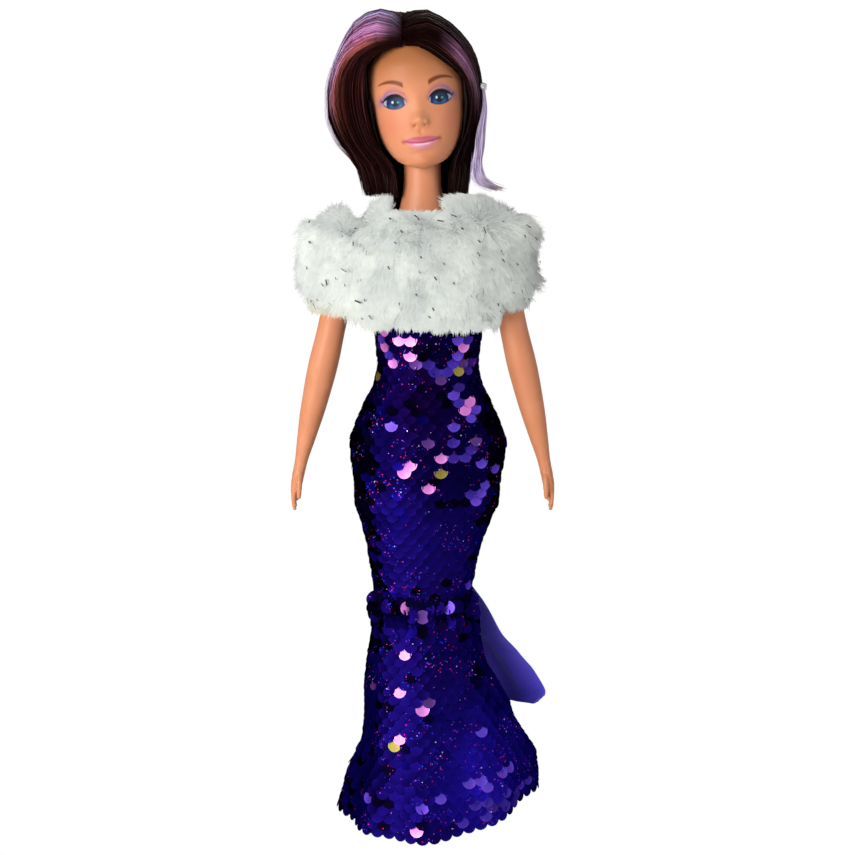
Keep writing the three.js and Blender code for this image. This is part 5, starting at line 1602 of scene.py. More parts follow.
class DOLL_OT_flounce(PieceMaker, bpy.types.Operator):
    """Make the flounce below the knee, its sequins and the plain train behind"""

    bl_idname = "doll.flounce"
    bl_label = "Flounce and train"

    def execute(self, context):
        size = context.scene.doll_gown
        rng = np.random.default_rng(23)
        knit = bpy.data.materials["gown_knit"]

        def make(heights, angles, growth):
            return flounce_points(heights, angles, growth, size)

        tube = tube_piece("flounce_knit", make, np.linspace(0.9, KNEE_SEAM, 80), 180, knit)
        places = brick_rows(make, np.arange(2.55, 82.5, size.row_pitch / MM * 0.97), size.sequin_pitch / MM)
        sequins = sequin_piece("flounce_sequins", make, places, size, rng, -0.25, 9.0)
        band = self.seam_band(knit)
        for piece in (tube, sequins, band):
            put_on(piece, "left_leg", slot="sequin_cloth")
        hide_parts("dress_flounce")
        self.train(size)
        return {"FINISHED"}

    def seam_band(self, knit):
        """The gathered knit that shows between the last row above the seam and the first below."""
        columns = 240
        angles = round_angles(columns)
        rows = []
        outline = ((80.2, -0.8), (81.2, -0.3), (82.4, -0.3), (83.6, -0.4), (83.6, -1.1), (80.2, -1.1))
        for height, growth in outline:
            gather = 0.22 * np.cos(60 * angles) * (growth > -0.4)
            sections = section_at(FLOUNCE, np.full(columns, height))
            rows.append(oval_points(grown(sections, (growth + gather)[:, None]), angles))
        rows.append(rows[0])
        return new_piece("flounce_seam_band", rows, grid_faces(len(rows), columns), knit)

    def train(self, size):
        """The plain satin behind the left side: hemmed, hung in folds, and flared away from the flounce."""
        other = hex_colour("#5a4ae0")
        satin = cloth_material("train_satin", tuple(size.satin), other, (9000, 2600), 0.36, 0.5, 0.00001, 0.3)
        across, along = 60, 70
        s = np.linspace(0, 1, across)[None, :]
        fall = np.linspace(0, 1, along)
        flare = section_at([(down, out) for down, out in TRAIN_FLARE], fall)[:, 1:]
        fall = fall[:, None]
        angles = np.radians(TRAIN_START + (TRAIN_END - TRAIN_START) * s) + 0 * fall
        corner = smooth_step(s, 0.12, 0) * smooth_step(fall, 0.86, 1)
        heights = KNEE_SEAM - 0.3 - 50 * fall - 5.0 * s * fall**2 + 1.6 * corner
        stand = 1.3 * (1 - heights / KNEE_SEAM) + 0.5 + 15.6 * flare * (1 - s) ** 1.3 - 1.6 * corner
        folds = smooth_step(s, 0.12, 0.4) * (1 + np.sin(s * 15 + 1.2 * fall))
        stand += (0.2 * np.sin(s * 9 + 1.2 * fall) + folds) * flare
        thickness = 0.38
        outer, inner = (
            oval_points(grown(section_at(FLOUNCE, heights), (stand + out)[..., None]), angles)
            for out in (thickness, 0)
        )
        half_thickness = (outer - inner) / 2
        hem = 0.9 * smooth_step(fall, 0.955, 0.98)[..., None]
        stitch = 0.8 * hump(fall, 0.955, 0.006)[..., None] * (0.6 + 0.4 * np.sin(s * 330))[..., None]
        outer += half_thickness * (hem - stitch * (1 + hem))
        inner -= half_thickness * hem
        half = across * along
        sheet = np.arange(half).reshape(along, across)
        rims = [
            np.column_stack([edge[:-1], edge[1:], half + edge[1:], half + edge[:-1]])
            for edge in (sheet[0], sheet[-1, ::-1], sheet[::-1, 0], sheet[:, -1])
        ]
        front = grid_faces(along, across, closed=False)
        back = grid_faces(along, across, closed=False, start=half)
        train = new_piece("train", [outer, inner], np.concatenate([front[:, ::-1], back, *rims]), satin)
        put_on(train, "left_leg", "dress_train", slot="satin")


# The stole


def stole_points(heights, angles, growth, rows=STOLE_OUTSIDE):
    """Places on the stole's outside, or on its inside."""
    heights, angles = np.broadcast_arrays(heights, angles)
    return oval_points(grown(section_at(rows, heights), growth), angles)


def neckline(points):
    """Lowers the stole's top edge in front of the neck."""
    x, y, z = np.moveaxis(points, -1, 0)
    before = (1 - smooth_step(np.abs(x + STOLE_TURN), 9, 15)) * smooth_step(-y, -2, 4)
    return np.stack([x, y, z - 2.7 * smooth_step(z, 213, 223) * before], axis=-1)


def fur_edge(x):
    """How low the fur hangs at each place across the doll."""
    low = 180.3 + 7.2 * smooth_step(-x, 15, 28) + 8.8 * smooth_step(x, 19, 29)
    low += 5.5 * smooth_step(-x, 39.5, 42.5) + 6.0 * smooth_step(x, 37, 41)
    return low - 6.5 * hump(x, 25.5, 1.8)


def fur_lumps(points, small):
    """How far the fur's large lumps and its small ones stand out."""
    return 1.5 * bumpiness(points, LUMP, 5), 0.8 * bumpiness(points, small, 9)


LUMP = 9.0
STOLE_TURN = 1.5
STOLE_PARTS = (("middle", -11.0, 11.0), ("left", 11.0, 99.0), ("right", -99.0, -11.0))


def stole_part(piece, part):
    """The stole's middle rides on the torso, and its sides stay where they are."""
    if part == "middle":
        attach(piece, "torso")
    else:
        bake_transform(piece)


class DOLL_OT_stole(PieceMaker, bpy.types.Operator):
    """Make the fur stole: its lining, its padded fur, the pile and the tinsel"""

    bl_idname = "doll.stole"
    bl_label = "Stole"

    def execute(self, context):
        size = context.scene.doll_stole
        rng = np.random.default_rng(37)
        self.backing(size)
        self.pile(size, rng)
        self.tinsel(size, rng)
        return {"FINISHED"}

    def padding(self, heights, angles):
        """The lumpy top of the padding, well below the tips of the pile."""
        points = stole_points(heights, angles, -5.2)
        out = unit(points - np.array([0, 0.5, 203.0]))
        return points + out * sum(fur_lumps(points, 4.5))[..., None]

    def backing(self, size):
        """The padding and the satin lining, each in three parts."""
        fur = fibre_material("fur_backing", 0.75, 0.95, sheen=0.6, specular=0.2)
        other = hex_colour("#c8c6c4")
        satin = cloth_material("lining_satin", tuple(size.lining), other, (8000, 3000), 0.3, 0.5, 0.00003)
        heights = np.array([185.2, *np.linspace(185.6, 222.6, 44), 223.2])[:, None]
        angles = round_angles(220)[None, :]
        outer = self.padding(heights, angles)
        inner = stole_points(heights, angles, 0.9, STOLE_INSIDE)
        reach = np.hypot(outer[..., 0], outer[..., 1]) - np.hypot(inner[..., 0], inner[..., 1])
        thin = np.clip(1.0 - reach, 0, None)[..., None]
        outer = neckline(outer + unit(outer * np.array([1, 1, 0])) * thin)
        inner = neckline(inner)
        lining = neckline(stole_points(heights[::-1], angles, 0.5, STOLE_INSIDE))
        for ring in (outer, inner, lining):
            ring[..., 2] -= self.drop(ring)
            ring[..., 2] = np.maximum(ring[..., 2], fur_edge(ring[..., 0]) + 1.6)
        pad = np.concatenate([outer, inner[::-1]])
        shade = 0.86 * rgb(size.fur_shade)
        for part, low_x, high_x in STOLE_PARTS:
            piece = self.cut(f"fur_pad_{part}", pad, True, low_x, high_x, fur)
            tint(piece, np.tile(shade, (len(piece.data.vertices), 1)))
            stole_part(piece, part)
            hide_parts("stole_fur")
            piece = self.cut(f"stole_lining_{part}", lining, False, low_x, high_x, satin)
            stole_part(piece, part)
            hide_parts("stole_lining")

    def cut(self, name, rings, solid, low_x, high_x, material):
        """The part of rings of cloth between two planes; a solid's last row joins its first."""
        rows, columns = rings.shape[:2]
        points = rings.reshape(-1, 3)
        faces = grid_faces(rows + 1 if solid else rows, columns) % len(points)
        middle = points[faces].mean(axis=1)[:, 0]
        kept = faces[(middle >= low_x) & (middle < high_x)]
        used, index = np.unique(kept, return_inverse=True)
        return new_piece(name, points[used], index.reshape(kept.shape), material)

    def roots(self, number, rng, growth):
        """Places for fibres, as even as chance allows over the stole, thicker along its edges."""
        heights = 185.0 + 38.6 * rng.random(number)
        edge = rng.random(number)
        heights = np.where(edge < 0.16, 185.2 + 2.2 * rng.random(number), heights)
        heights = np.where(edge > 0.9, 221.0 + 2.6 * rng.random(number), heights)
        angles = 2 * math.pi * rng.random(number)
        return heights, *frames_on(stole_points, np.column_stack([heights, angles]), growth)

    def drop(self, here):
        """How much the fur's top sinks beside the neck, less how much it puffs up over the arms."""
        x, z = here[..., 0], here[..., 2]
        sunk = 6.0 * hump(x, -24.3, 4.8) + 1.2 * hump(x, 27.5, 1.8)
        puffed = 3.6 * smooth_step(-x, 32, 37.5) + 2.2 * smooth_step(x, 30.5, 35)
        return sunk * smooth_step(z, 205, 221) - puffed * smooth_step(z, 196, 207)

    def pile(self, size, rng):
        """The fur's hairs: combed in patches, leaning to their tuft's leader, and trimmed at both edges."""
        number, steps = size.hairs, 5

        def chance(spread, *shape):
            return rng.normal(0, spread, (number, *shape))

        heights, here, out, down, side = self.roots(number, rng, -5.0)
        large, small = fur_lumps(here, 4.0)
        lumps = large / 1.5
        here = neckline(here + out * (large + small)[:, None])
        beside = smooth_step(np.abs(here[:, 0] + STOLE_TURN), 8.5, 13)
        slope = [((bumpiness(here + 0.8 * way, LUMP, 5) - lumps) / 0.8)[:, None] for way in (down, side)]
        low = smooth_step(heights, 192, 186)
        high = smooth_step(heights, 218, 222.5)
        comb = np.column_stack([bumpiness(here, 7.0, 21), bumpiness(here, 7.0, 22)])
        here[:, 2] -= self.drop(here)
        x = here[:, 0]
        highest = np.where(here[:, 1] < 2, 221.4 + 6 * beside, 227) + chance(0.5)
        here[:, 2] = np.clip(here[:, 2], fur_edge(x) + 1.2, highest - 0.6)
        lean = unit(
            out * (0.6 + 0.2 * rng.random((number, 1)) - 0.3 * low[:, None])
            + down * (0.6 + 0.5 * low - high * (0.5 + 1.3 * beside))[:, None] + 0.8 * down * comb[:, :1]
            + side * (0.9 * comb[:, 1:] + chance(0.16, 1))
            + chance(0.13, 3)
        )
        long = size.pile / MM * (0.62 + 0.5 * rng.random(number)) * (1 + 0.2 * lumps)
        long *= 1 - 0.3 * high + 0.5 * high * beside - 0.3 * low
        long *= 1 - 0.35 * smooth_step(np.abs(x + STOLE_TURN), 26, 34) * smooth_step(here[:, 2], 198, 190)
        long *= 1 - 0.5 * hump(x, -24.3, 5.0) * smooth_step(here[:, 2], 205, 212)
        long, base = long[:, None, None], here[:, None, :]
        t = np.linspace(0, 1, steps)[None, :, None]
        curl = chance(0.8, 1, 3) * t * t
        droop = np.array([0, 0, -1.0]) * (0.22 + 0.1 * rng.random((number, 1, 1)))
        paths = base + lean[:, None, :] * long * t + droop * long * t**2 + curl
        leaders = kdtree.KDTree(size.tufts)
        for k in range(size.tufts):
            leaders.insert(here[k], k)
        leaders.balance()
        leader = np.array([leaders.find(place)[1] for place in here])
        paths = paths + (paths[leader] - paths) * 0.5 * t**1.5
        lowest = fur_edge(paths[:, -1, 0]) + chance(1.3)
        rise = paths[:, -1, 2] - here[:, 2]
        keep = np.clip((np.where(rise < 0, lowest, highest) - here[:, 2]) / (rise + 1e-6), 0.3, 1)
        paths = base + (paths - base) * keep[:, None, None]
        widths = (0.3 + 0.16 * rng.random((number, 1))) * (1 - 0.82 * t[..., 0] ** 1.5)
        spread = chance(1, 1, 3)
        front = smooth_step(here[:, 1], 9, -3)[:, None]
        top = front * smooth_step(here[:, 2], 208, 216)[:, None]
        facing = unit(out * (1 - 0.7 * top) - 0.9 * (slope[0] * down + slope[1] * side) + 0.1 * chance(1, 3))
        facing += np.array([-0.1, 0.3, 0.3]) + front * np.array([0, -0.8, -0.1])
        facing += top * np.array([0, -0.5, 0.2])
        ahead = np.gradient(paths, axis=1)
        facing = unit(facing)[:, None, :] + 0.2 * unit(ahead)
        sides = unit(np.cross(ahead, (out + front * np.array([0, -1.5, 0.15]))[:, None, :] + 0.15 * spread))
        bright, shade = rgb(size.fur), rgb(size.fur_shade)
        # Painted shade: the fibres darker towards their roots and on the low ground between the lumps, with
        # blotches at random.
        level = 0.35 + 0.35 * t[..., 0] + 0.06 * chance(1, 1)
        level = level + 0.5 * (lumps + bumpiness(here, 6.0, 31))[:, None]
        tones = shade + (bright - shade) * np.clip(level, 0, 1)[..., None]
        warm = 0.3 * hump(x, -36, 10) * hump(here[:, 2], 187, 6)
        tones = tones * (1 - warm[:, None, None] * np.array([0.1, 0.4, 1.0]))
        fibre = fibre_material("fur_pile", 0.75, 0.95, sheen=0.35, specular=0.15)
        for part, chosen in self.parts(here):
            piece = ribbons(
                f"fur_pile_{part}", paths[chosen], sides[chosen], widths[chosen], tones[chosen], fibre,
                facing[chosen],
            )
            # White fibres let light through, so the pile's own shading comes from its lumps.
            piece.visible_shadow = False
            stole_part(piece, part)
            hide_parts("stole_fur")

    def tinsel(self, size, rng):
        """Short flat flecks of foil that lie on the fur."""
        number, steps = size.flecks, 4
        _, here, out, down, side = self.roots(number, rng, -0.6)
        here = neckline(here + 1.5 * out * bumpiness(here, LUMP, 5)[:, None])
        here[:, 2] -= self.drop(here)
        here[:, 2] = np.maximum(here[:, 2], fur_edge(here[:, 0]) + 1.5 + 3 * rng.random(number))
        long = 0.9 + 1.6 * rng.random(number) ** 2
        lean = unit(
            side * (-0.5 + rng.normal(0, 0.3, (number, 1))) + down * (0.85 + rng.normal(0, 0.3, (number, 1)))
            + out * rng.normal(0, 0.12, (number, 1))
        )
        t = np.linspace(-0.5, 0.5, steps)[None, :, None]
        paths = here[:, None, :] + lean[:, None, :] * long[:, None, None] * t
        widths = np.tile(0.34 + 0.3 * rng.random((number, 1)), (1, steps))
        up = out[:, None, :] + 0.3 * rng.normal(0, 1, (number, 1, 3))
        sides = unit(np.cross(np.gradient(paths, axis=1), up))
        tones = np.tile(rgb(size.tinsel), (number, steps, 1))
        foil = plastic_material("tinsel_foil", tuple(size.tinsel), 0.12, 0.25, Metallic=0.9)
        for part, chosen in self.parts(here):
            piece = ribbons(f"tinsel_{part}", paths[chosen], sides[chosen], widths[chosen], tones[chosen], foil)
            stole_part(piece, part)

    def parts(self, here):
        """Which places are on each of the stole's parts."""
        return [(part, (here[:, 0] >= low_x) & (here[:, 0] < high_x)) for part, low_x, high_x in STOLE_PARTS]


# The hair

HAIR_MIDDLE = np.array([-2.0, 2.2, 254.0])
# Guides from the face to the back, each from the parting down, in millimetres: the first three of a side
# are seen from the front as [x, height], and the others are [x, y, height]
RIGHT_GUIDES = [
    RIGHT_EDGE,
    [[-7, 281.3], [-12.5, 280.9], [-20, 278.9], [-26.3, 274.6], [-30, 267.5], [-31.2, 258], [-28.8, 248.5],
     [-23.5, 240.5], [-19.8, 233.5], [-18.2, 226.3]],
    [[-7.4, 286.6], [-12, 288.6], [-19.5, 285.6], [-25.6, 279.8], [-30.2, 271.3], [-32.7, 261.5],
     [-32, 251.5], [-27, 242.8], [-22.3, 236.5], [-19.7, 226.5]],
    [[-6.6, 2, 289.5], [-14, 6, 288.4], [-22.5, 9, 281], [-29, 12, 266], [-28, 14, 252], [-21.5, 14, 240],
     [-18, 13.5, 233], [-16.3, 12.5, 226.3]],
    [[-6, 7, 289.2], [-5.8, 13, 286.5], [-4.6, 20, 277], [-3.4, 23.5, 264], [-3, 24.5, 252], [-2.6, 24, 240],
     [-2.3, 22.8, 233], [-2.2, 20.5, 226.3]],
]
LEFT_GUIDES = [
    LEFT_EDGE,
    [[-6.6, 281.6], [-0.5, 282.6], [6.5, 279.6], [12.2, 274.8], [16.4, 268.8], [18.5, 262.5], [18.6, 253],
     [17.2, 244], [15.4, 235], [14.4, 226.3]],
    [[-7, 286.6], [-1.5, 288], [5, 286.8], [12, 281.8], [17.3, 274.4], [19.9, 266.5], [20.5, 257],
     [19.3, 248], [17.4, 240], [15.9, 233], [15.1, 226.5]],
    [[-6.4, 2, 289.3], [2, 8, 286.5], [9, 13, 279.5], [14.5, 17, 266], [15, 18, 252.5], [12.6, 17.5, 240],
     [11.5, 16.2, 233], [10.4, 14.5, 226.3]],
    [[-6, 7, 289], [-5.2, 13, 286.5], [-4, 20, 277], [-3, 23.5, 264], [-2.6, 24.5, 252], [-2.2, 24, 240],
     [-2, 22.8, 233], [-2, 20.5, 226.3]],
]
GUIDE_SHARES = np.array([0, 0.3, 0.52, 0.78, 1.0])


def front_guide(edge):
    """A guide seen from the front, put on the front of the hair."""
    edge = np.array(edge, float)
    order = np.argsort(edge[:, 1])
    sections = np.empty((len(edge), 7))
    sections[order] = section_at(HAIR, edge[order, 1])
    _, _, y, right, left, front, _ = sections.T
    reach = np.where(edge[:, 0] < 0, right, left)
    along = (1 - np.clip(np.abs(edge[:, 0]) / reach, 0, 1) ** 2.2) ** (1 / 2.2)
    return np.stack([edge[:, 0], y - front * along, edge[:, 1]], axis=-1)


def hair_reach(directions):
    """How far the hair's outer surface is from its middle in each direction."""
    low, high = np.full(len(directions), 5.0), np.full(len(directions), 60.0)
    top = HAIR[-1][0]
    for _ in range(22):
        half = (low + high) / 2
        points = HAIR_MIDDLE + directions * half[:, None]
        sections = section_at(HAIR, np.clip(points[:, 2], HAIR[0][0], top))
        x, y = points[:, 0] - sections[:, 1], points[:, 1] - sections[:, 2]
        reach_x = np.where(x > 0, sections[:, 4], sections[:, 3])
        reach_y = np.where(y < 0, sections[:, 5], sections[:, 6])
        form = (np.abs(x) / reach_x) ** 2.2 + (np.abs(y) / reach_y) ** 2.2
        outside = (form > 1) | (points[:, 2] > top)
        high = np.where(outside, half, high)
        low = np.where(outside, low, half)
    return (low + high) / 2


def hair_paths(guides, shares, steps):
    """Paths on the hair's surface at shares from the face edge, 0, to the back, 1, with the way out."""
    table = [front_guide(guide) if len(guide[0]) == 2 else guide for guide in guides]
    table = np.stack([even_steps(guide, steps) for guide in table])
    rows = np.concatenate([GUIDE_SHARES[:, None], table.reshape(len(guides), -1)], axis=1)
    paths = section_at(rows, shares)[:, 1:].reshape(len(shares), steps, 3)
    directions = unit(paths - HAIR_MIDDLE)
    reach = hair_reach(directions.reshape(-1, 3)).reshape(directions.shape[:2])
    own = np.linalg.norm(paths - HAIR_MIDDLE, axis=-1)
    low = smooth_step(paths[..., 2], 236, 229)
    reach = reach * (1 - low) + own * low
    return HAIR_MIDDLE + directions * reach[..., None], directions


class DOLL_OT_hair(PieceMaker, bpy.types.Operator):
    """Make the long hair from its parting, with its streaks, the pale lock and the tie"""

    bl_idname = "doll.hair"
    bl_label = "Hair"

    def execute(self, context):
        size = context.scene.doll_hair
        rng = np.random.default_rng(5)
        keys = ("dark", "burgundy", "lilac", "pink", "copper", "pale")
        self.tones = {key: rgb(getattr(size, key)) for key in keys}
        fibre = fibre_material("hair_fibre", 0.34, 0.52, specular=0.28, shine=(1.0, 0.62, 0.55))
        self.under(size)
        right = self.side(size, "right", RIGHT_GUIDES, int(size.strands * 0.56), rng)
        left = self.side(size, "left", LEFT_GUIDES, int(size.strands * 0.44), rng)
        for name, (paths, sides, widths, tones, pale) in (("right", right), ("left", left)):
            for kind, chosen in (("dark", ~pale), ("streak", pale)):
                piece = ribbons(
                    f"hair_{name}_{kind}_strands", paths[chosen], sides[chosen], widths[chosen], tones[chosen],
                    fibre,
                )
                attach(piece, "head")
                if kind == "streak":
                    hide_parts(f"hair_streak_{name}")
        self.nape(size, fibre, rng)
        self.lock(fibre, rng)
        return {"FINISHED"}

    def nape(self, size, fibre, rng):
        """Short dark hair round the back and sides of the neck, down into the stole."""
        number, steps = 900, 6
        top = 235.0
        turn = np.radians(rng.uniform(70, 290, number))
        reach = 9.1 + 2.0 * rng.random(number)
        t = np.linspace(0, 1, steps)[None, :]
        ends = 219.6 + 1.5 * rng.random((number, 1))
        out = np.stack([np.sin(turn), -np.cos(turn), np.zeros(number)], axis=-1)[:, None, :]
        paths = out * reach[:, None, None] + (top + (ends - top) * t)[..., None] * np.array([0, 0, 1.0])
        stray = rng.normal(0, 0.25, (number, 1, 3)) * t[..., None] * np.array([1, 1, 0])
        paths = paths + np.array([0, NECK_SETBACK, 0]) + stray
        sides = unit(np.cross(np.gradient(paths, axis=1), out))
        widths = size.width / MM * (0.9 + 0.4 * rng.random((number, 1))) * (1 - 0.6 * smooth_step(t, 0.8, 1.0))
        tones = self.tones["dark"] * (0.7 + 0.5 * rng.random((number, 1, 1))) + np.zeros((1, steps, 1))
        piece = ribbons("hair_nape", paths, sides, widths, tones, fibre)
        put_on(piece, "neck", slot="dark_hair")

    def under(self, size):
        """The dark mass of hair that shows between the strands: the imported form, drawn in a little."""
        dark = tuple(size.dark)
        # The hair's colour painted darker, as the shade deep between the strands.
        material = plain_material(
            "hair_under", darker(dark, 0.55), dark, (300.0, 0.6), (1500.0, 0.5, 0.75), Specular_IOR_Level=0.2
        )
        for node in ("hair_back", "hair_left", "hair_right", "hair_streak_right"):
            mesh = bpy.data.meshes.new_from_object(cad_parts[node])
            piece = bpy.data.objects.new(f"{node}_under", mesh)
            bpy.context.scene.collection.objects.link(piece)
            weld = piece.modifiers.new("weld", "WELD")
            weld.merge_threshold = 0.00002
            inward = piece.modifiers.new("inward", "DISPLACE")
            inward.strength = -0.0016
            inward.mid_level = 0.0
            apply_modifiers(piece)
            piece.data.materials.clear()
            piece.data.materials.append(material)
            put_on(piece, "head", node, slot="lilac_hair" if node == "hair_streak_right" else "dark_hair")

    def side(self, size, name, guides, number, rng):
        """One side's strands: paths, side directions, widths, colours, and which are streaks."""
        steps, clumps = 18, 130
        centre = np.interp(rng.random(clumps), [0, 0.5, 0.75, 1], [0, 0.32, 0.6, 1])
        own = rng.integers(0, clumps, number)
        shares = np.clip(centre[own] + rng.normal(0, 0.018, number), 0.004, 1)
        extra = rng.random(number) < 0.12
        shares[extra] = 0.004 + 0.05 * rng.random(int(extra.sum()))
        depth = -2.2 + 2.5 * rng.random(number) ** 0.75
        depth = depth * (1 + 1.6 * smooth_step(shares, 0.16, 0.0))
        paths, out = hair_paths(guides, shares, steps)
        t = np.linspace(0, 1, steps)[None, :]
        long = 1 - 0.06 * rng.random(number) ** 2
        place = t * long[:, None] * (steps - 1)
        low = np.clip(place.astype(int), 0, steps - 2)
        part = (place - low)[..., None]
        index = np.arange(number)[:, None]
        paths = paths[index, low] * (1 - part) + paths[index, low + 1] * part
        out = unit(out[index, low] * (1 - part) + out[index, low + 1] * part)
        ahead = unit(np.gradient(paths, axis=1))
        sideways = unit(np.cross(ahead, out))
        clump_wave = rng.normal(0, 1, (clumps, 2, 3))
        waves = np.stack([np.sin(5.0 * t[0] * math.pi / 2 + k * 1.7) for k in range(3)])
        bend, lift = clump_wave[own, 0] @ waves, clump_wave[own, 1] @ waves
        grow = np.sin(math.pi * np.clip(t, 0.02, 1) * 0.85)
        paths = paths + sideways * (0.16 * bend * grow + rng.normal(0, 0.16, (number, 1)) * grow)[..., None]
        front = smooth_step(shares, 0.34, 0.0)[:, None, None]
        away = unit(out * (1 - front) + np.array([0, -1.0, 0]) * front)
        settled = smooth_step(t, 0.0, 0.13)
        puff = (1.5 if name == "right" else -0.3) * hump(t, 0.2, 0.12) * smooth_step(shares, 0.2, 0.45)[:, None]
        rise = depth[:, None] * settled + 0.12 * lift * grow - 1.5 * (1 - settled) + puff
        paths = paths + away * rise[..., None]
        free = smooth_step(t, 0.8, 1.0)
        paths = paths + rng.normal(0, 0.5, (number, 1, 3)) * free[..., None] * np.array([1, 1, 0.3])
        roll = rng.normal(0, 0.3, (number, 1))
        facing = unit(out * np.cos(roll)[..., None] + sideways * np.sin(roll)[..., None])
        sides = unit(np.cross(ahead, facing))
        widths = size.width / MM * (0.75 + 0.5 * rng.random((number, 1)))
        widths = widths * (0.55 + 0.45 * smooth_step(t, 0, 0.1))
        widths = widths * (1 - 0.75 * smooth_step(t, 0.82, 1.0))
        paths[..., 2] = np.maximum(paths[..., 2], 224.9 + 1.2 * rng.random((number, 1)))
        tones, pale = self.colours(name, shares, t, own, clumps, rng)
        return paths, sides, widths, tones, pale

    def colours(self, name, shares, t, own, clumps, rng):
        """Dark hair with burgundy fibres, and streaks that fade out towards the parting and the ends."""
        tone, number = self.tones, len(shares)
        share_red = (rng.random(clumps)[own] * 0.5 + 0.5 * rng.random(number)) ** 2.0
        share_red = share_red * (1.0 if name == "right" else 0.45)
        base = tone["dark"] + (tone["burgundy"] - tone["dark"]) * (0.6 * share_red)[:, None]
        tones = np.repeat(base[:, None, :], t.shape[1], axis=1) * (0.88 + 0.24 * rng.random((number, 1, 1)))
        warm = (0.6 if name == "right" else 0.3) * hump(t, 0.42, 0.22) * (0.3 + 0.7 * rng.random((number, 1)))
        tones = tones + (tone["burgundy"] - tones) * (warm * 0.6)[..., None]
        at = shares + rng.normal(0, 0.02, number)
        if name == "right":
            layers = (
                ("copper", 0.245, 0.06, 0.08, 0.5, 0.95), ("pink", 0.345, 0.07, 0.03, 0.44, 1.0),
                ("lilac", 0.47, 0.08, 0.02, 0.42, 1.0), ("copper", 0.415, 0.018, 0.05, 0.3, 0.6),
                ("pale", 0.57, 0.07, 0.12, 0.55, 0.85),
                ("pale", 0.35, 0.05, 0.22, 0.42, 0.8),
            )
        else:
            layers = (
                ("pink", 0.28, 0.09, 0.2, 0.42, 0.85), ("pale", 0.25, 0.035, 0.24, 0.36, 0.6),
                ("copper", 0.16, 0.03, 0.16, 0.36, 0.3),
                ("pale", 0.5, 0.02, 0.45, 0.95, 0.4),
            )
        streak = np.zeros(number)
        for key, middle, spread, begin, end, strength in layers:
            much = strength * hump(at, middle, spread)
            along = smooth_step(t, begin, begin + 0.1) * smooth_step(t, end + 0.22, end - 0.1)
            amount = (much[:, None] * along * (0.65 + 0.5 * rng.random((number, 1))))[..., None]
            wanted = tone[key] * (0.8 + 0.4 * rng.random((number, 1, 1)))
            tones = tones + (wanted - tones) * np.clip(amount, 0, 1)
            streak = np.maximum(streak, much)
        if name == "right":
            rim = hump(at, 0.54, 0.06)[:, None] * smooth_step(t, 0.25, 0.38) * smooth_step(t, 0.75, 0.5)
            rim = rim * (rng.random((number, 1)) < 0.5)
            tones = tones + (tone["pale"] - tones) * (0.75 * rim)[..., None]
        return np.clip(tones, 0, 1), streak > 0.35

    def lock(self, fibre, rng):
        """The thin pale lock below its tie on the left, and the loose fibres beside the hair."""
        number, steps = 110, 30
        middle = even_steps(LOCK, steps)
        t = np.linspace(0, 1, steps)[None, :]
        middle[:, 0] -= 0.4 + 0.9 * smooth_step(t[0], 0.62, 0.35) + 0.5 * hump(t[0], 0.7, 0.15)
        middle[:, 1] -= 2.6 * smooth_step(t[0], 0.7, 0.3)
        spread = rng.normal(0, 1, (number, 1, 3)) * np.array([0.65, 0.9, 0.2])
        fan = 0.35 + 1.0 * smooth_step(t, 0.05, 0.5) + 0.9 * smooth_step(t, 0.65, 1.0)
        paths = middle[None] + spread * fan[..., None]
        paths = paths + 0.3 * np.sin(t[..., None] * 9 + rng.normal(0, 2, (number, 1, 3))) * t[..., None]
        out = unit(paths - HAIR_MIDDLE)
        ahead = unit(np.gradient(paths, axis=1))
        sides = unit(np.cross(ahead, out + 0.4 * rng.normal(0, 1, (number, 1, 3))))
        widths = 0.3 * (0.7 + 0.6 * rng.random((number, 1))) * (1 - 0.7 * smooth_step(t, 0.75, 1.0))
        mix = rng.random((number, 1, 1))
        shade = self.tones["pale"] * mix + self.tones["lilac"] * (1 - mix)
        shade = shade + (self.tones["burgundy"] - shade) * (smooth_step(t, 0.78, 1.0) * 0.75)[..., None]
        piece = ribbons("hair_lock", paths, sides, widths, shade + 0 * t[..., None], fibre)
        put_on(piece, "head", slot="lilac_hair")
        put_on(self.wisps(fibre, rng), "head", slot="lilac_hair")
        tie = plastic_material("tie_plastic", hex_colour("#f2f0f6"), 0.08, 0.2, Transmission_Weight=0.12)
        top = middle[0] + np.array([-0.2, 0, -1.2])
        shapes = []
        for k in range(3):
            turn = np.linspace(0, 2 * math.pi, 25)
            ring = np.stack([1.1 * np.cos(turn), 1.1 * np.sin(turn), 0.16 * np.sin(3 * turn + k)], axis=-1)
            shapes.append(swept(top + ring + np.array([0, 0, 0.62 * (k - 1)]), np.full(25, 0.36), sides=10))
        knot = curve_points([[0.3, -1.4, 0.5], [-0.4, -1.9, 0.2], [0.2, -1.8, -0.6]], 12) + top
        shapes.append(swept(knot, np.full(12, 0.5), sides=10))
        band = new_piece("hair_tie_band", *joined(shapes), tie)
        put_on(band, "head", "hair_tie", slot="clear_plastic")

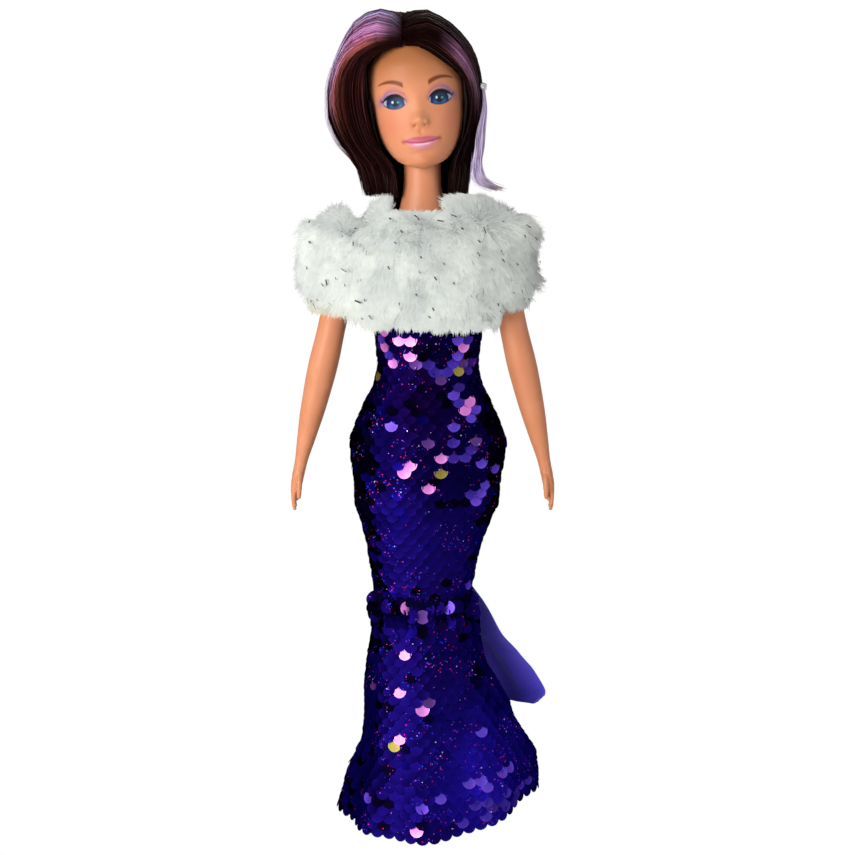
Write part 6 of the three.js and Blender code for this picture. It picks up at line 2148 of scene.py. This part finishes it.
    def wisps(self, fibre, rng):
        """Fine pale fibres that bow away from the hair on the right."""
        number, steps = 34, 26
        bow = ((-31.5, 270), (-33.2, 262), (-33.2, 254), (-30.6, 246), (-25.5, 240), (-21.5, 234))
        path = even_steps([[x, 0, z] for x, z in bow], steps)
        t = np.linspace(0, 1, steps)[None, :]
        spread = rng.normal(0, 1, (number, 1, 3)) * np.array([0.25, 1.6, 0.3])
        paths = path[None] + spread * (0.4 + np.sin(math.pi * t))[..., None]
        ahead = unit(np.gradient(paths, axis=1))
        sides = unit(np.cross(ahead, np.array([0, -1.0, 0]) + 0.4 * rng.normal(0, 1, (number, 1, 3))))
        widths = 0.16 * (0.7 + 0.6 * rng.random((number, 1))) * (1 - 0.5 * t)
        pale, red = self.tones["pale"], self.tones["burgundy"]
        shade = pale * 0.9 + (red - pale) * smooth_step(t, 0.55, 0.9)[..., None] + np.zeros((number, 1, 1))
        return ribbons("hair_wisps", paths, sides, widths, shade, fibre)




class DOLL_PT_pieces(bpy.types.Panel):
    """The doll's pieces, in the order that they are made"""

    bl_label = "Doll"
    bl_idname = "DOLL_PT_pieces"
    bl_space_type = "VIEW_3D"
    bl_region_type = "UI"
    bl_category = "Doll"

    def draw(self, context):
        for name, group in GROUPS.items():
            box = self.layout.box()
            box.label(text=group.__name__[4:])
            settings = getattr(context.scene, name)
            for key in group.__annotations__:
                box.prop(settings, key)
        for maker in MAKERS:
            self.layout.operator(maker.bl_idname)


MAKERS = (
    DOLL_OT_stage, DOLL_OT_body, DOLL_OT_limbs, DOLL_OT_head, DOLL_OT_gown, DOLL_OT_flounce, DOLL_OT_stole,
    DOLL_OT_hair,
)
CLASSES = (*GROUPS.values(), *MAKERS, DOLL_PT_pieces)


def register():
    for part in CLASSES:
        bpy.utils.register_class(part)
    for name, group in GROUPS.items():
        setattr(bpy.types.Scene, name, bpy.props.PointerProperty(type=group))


def unregister():
    for name in GROUPS:
        delattr(bpy.types.Scene, name)
    for part in reversed(CLASSES):
        bpy.utils.unregister_class(part)


def main():
    register()
    for maker in MAKERS:
        family, name = maker.bl_idname.split(".")
        getattr(getattr(bpy.ops, family), name)()
    plain = lambda box: [[float(v) for v in corner] for corner in box]
    {"cad": plain(CAD_BOX), "visual": plain(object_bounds())}


if __name__ == "__main__":
    main()
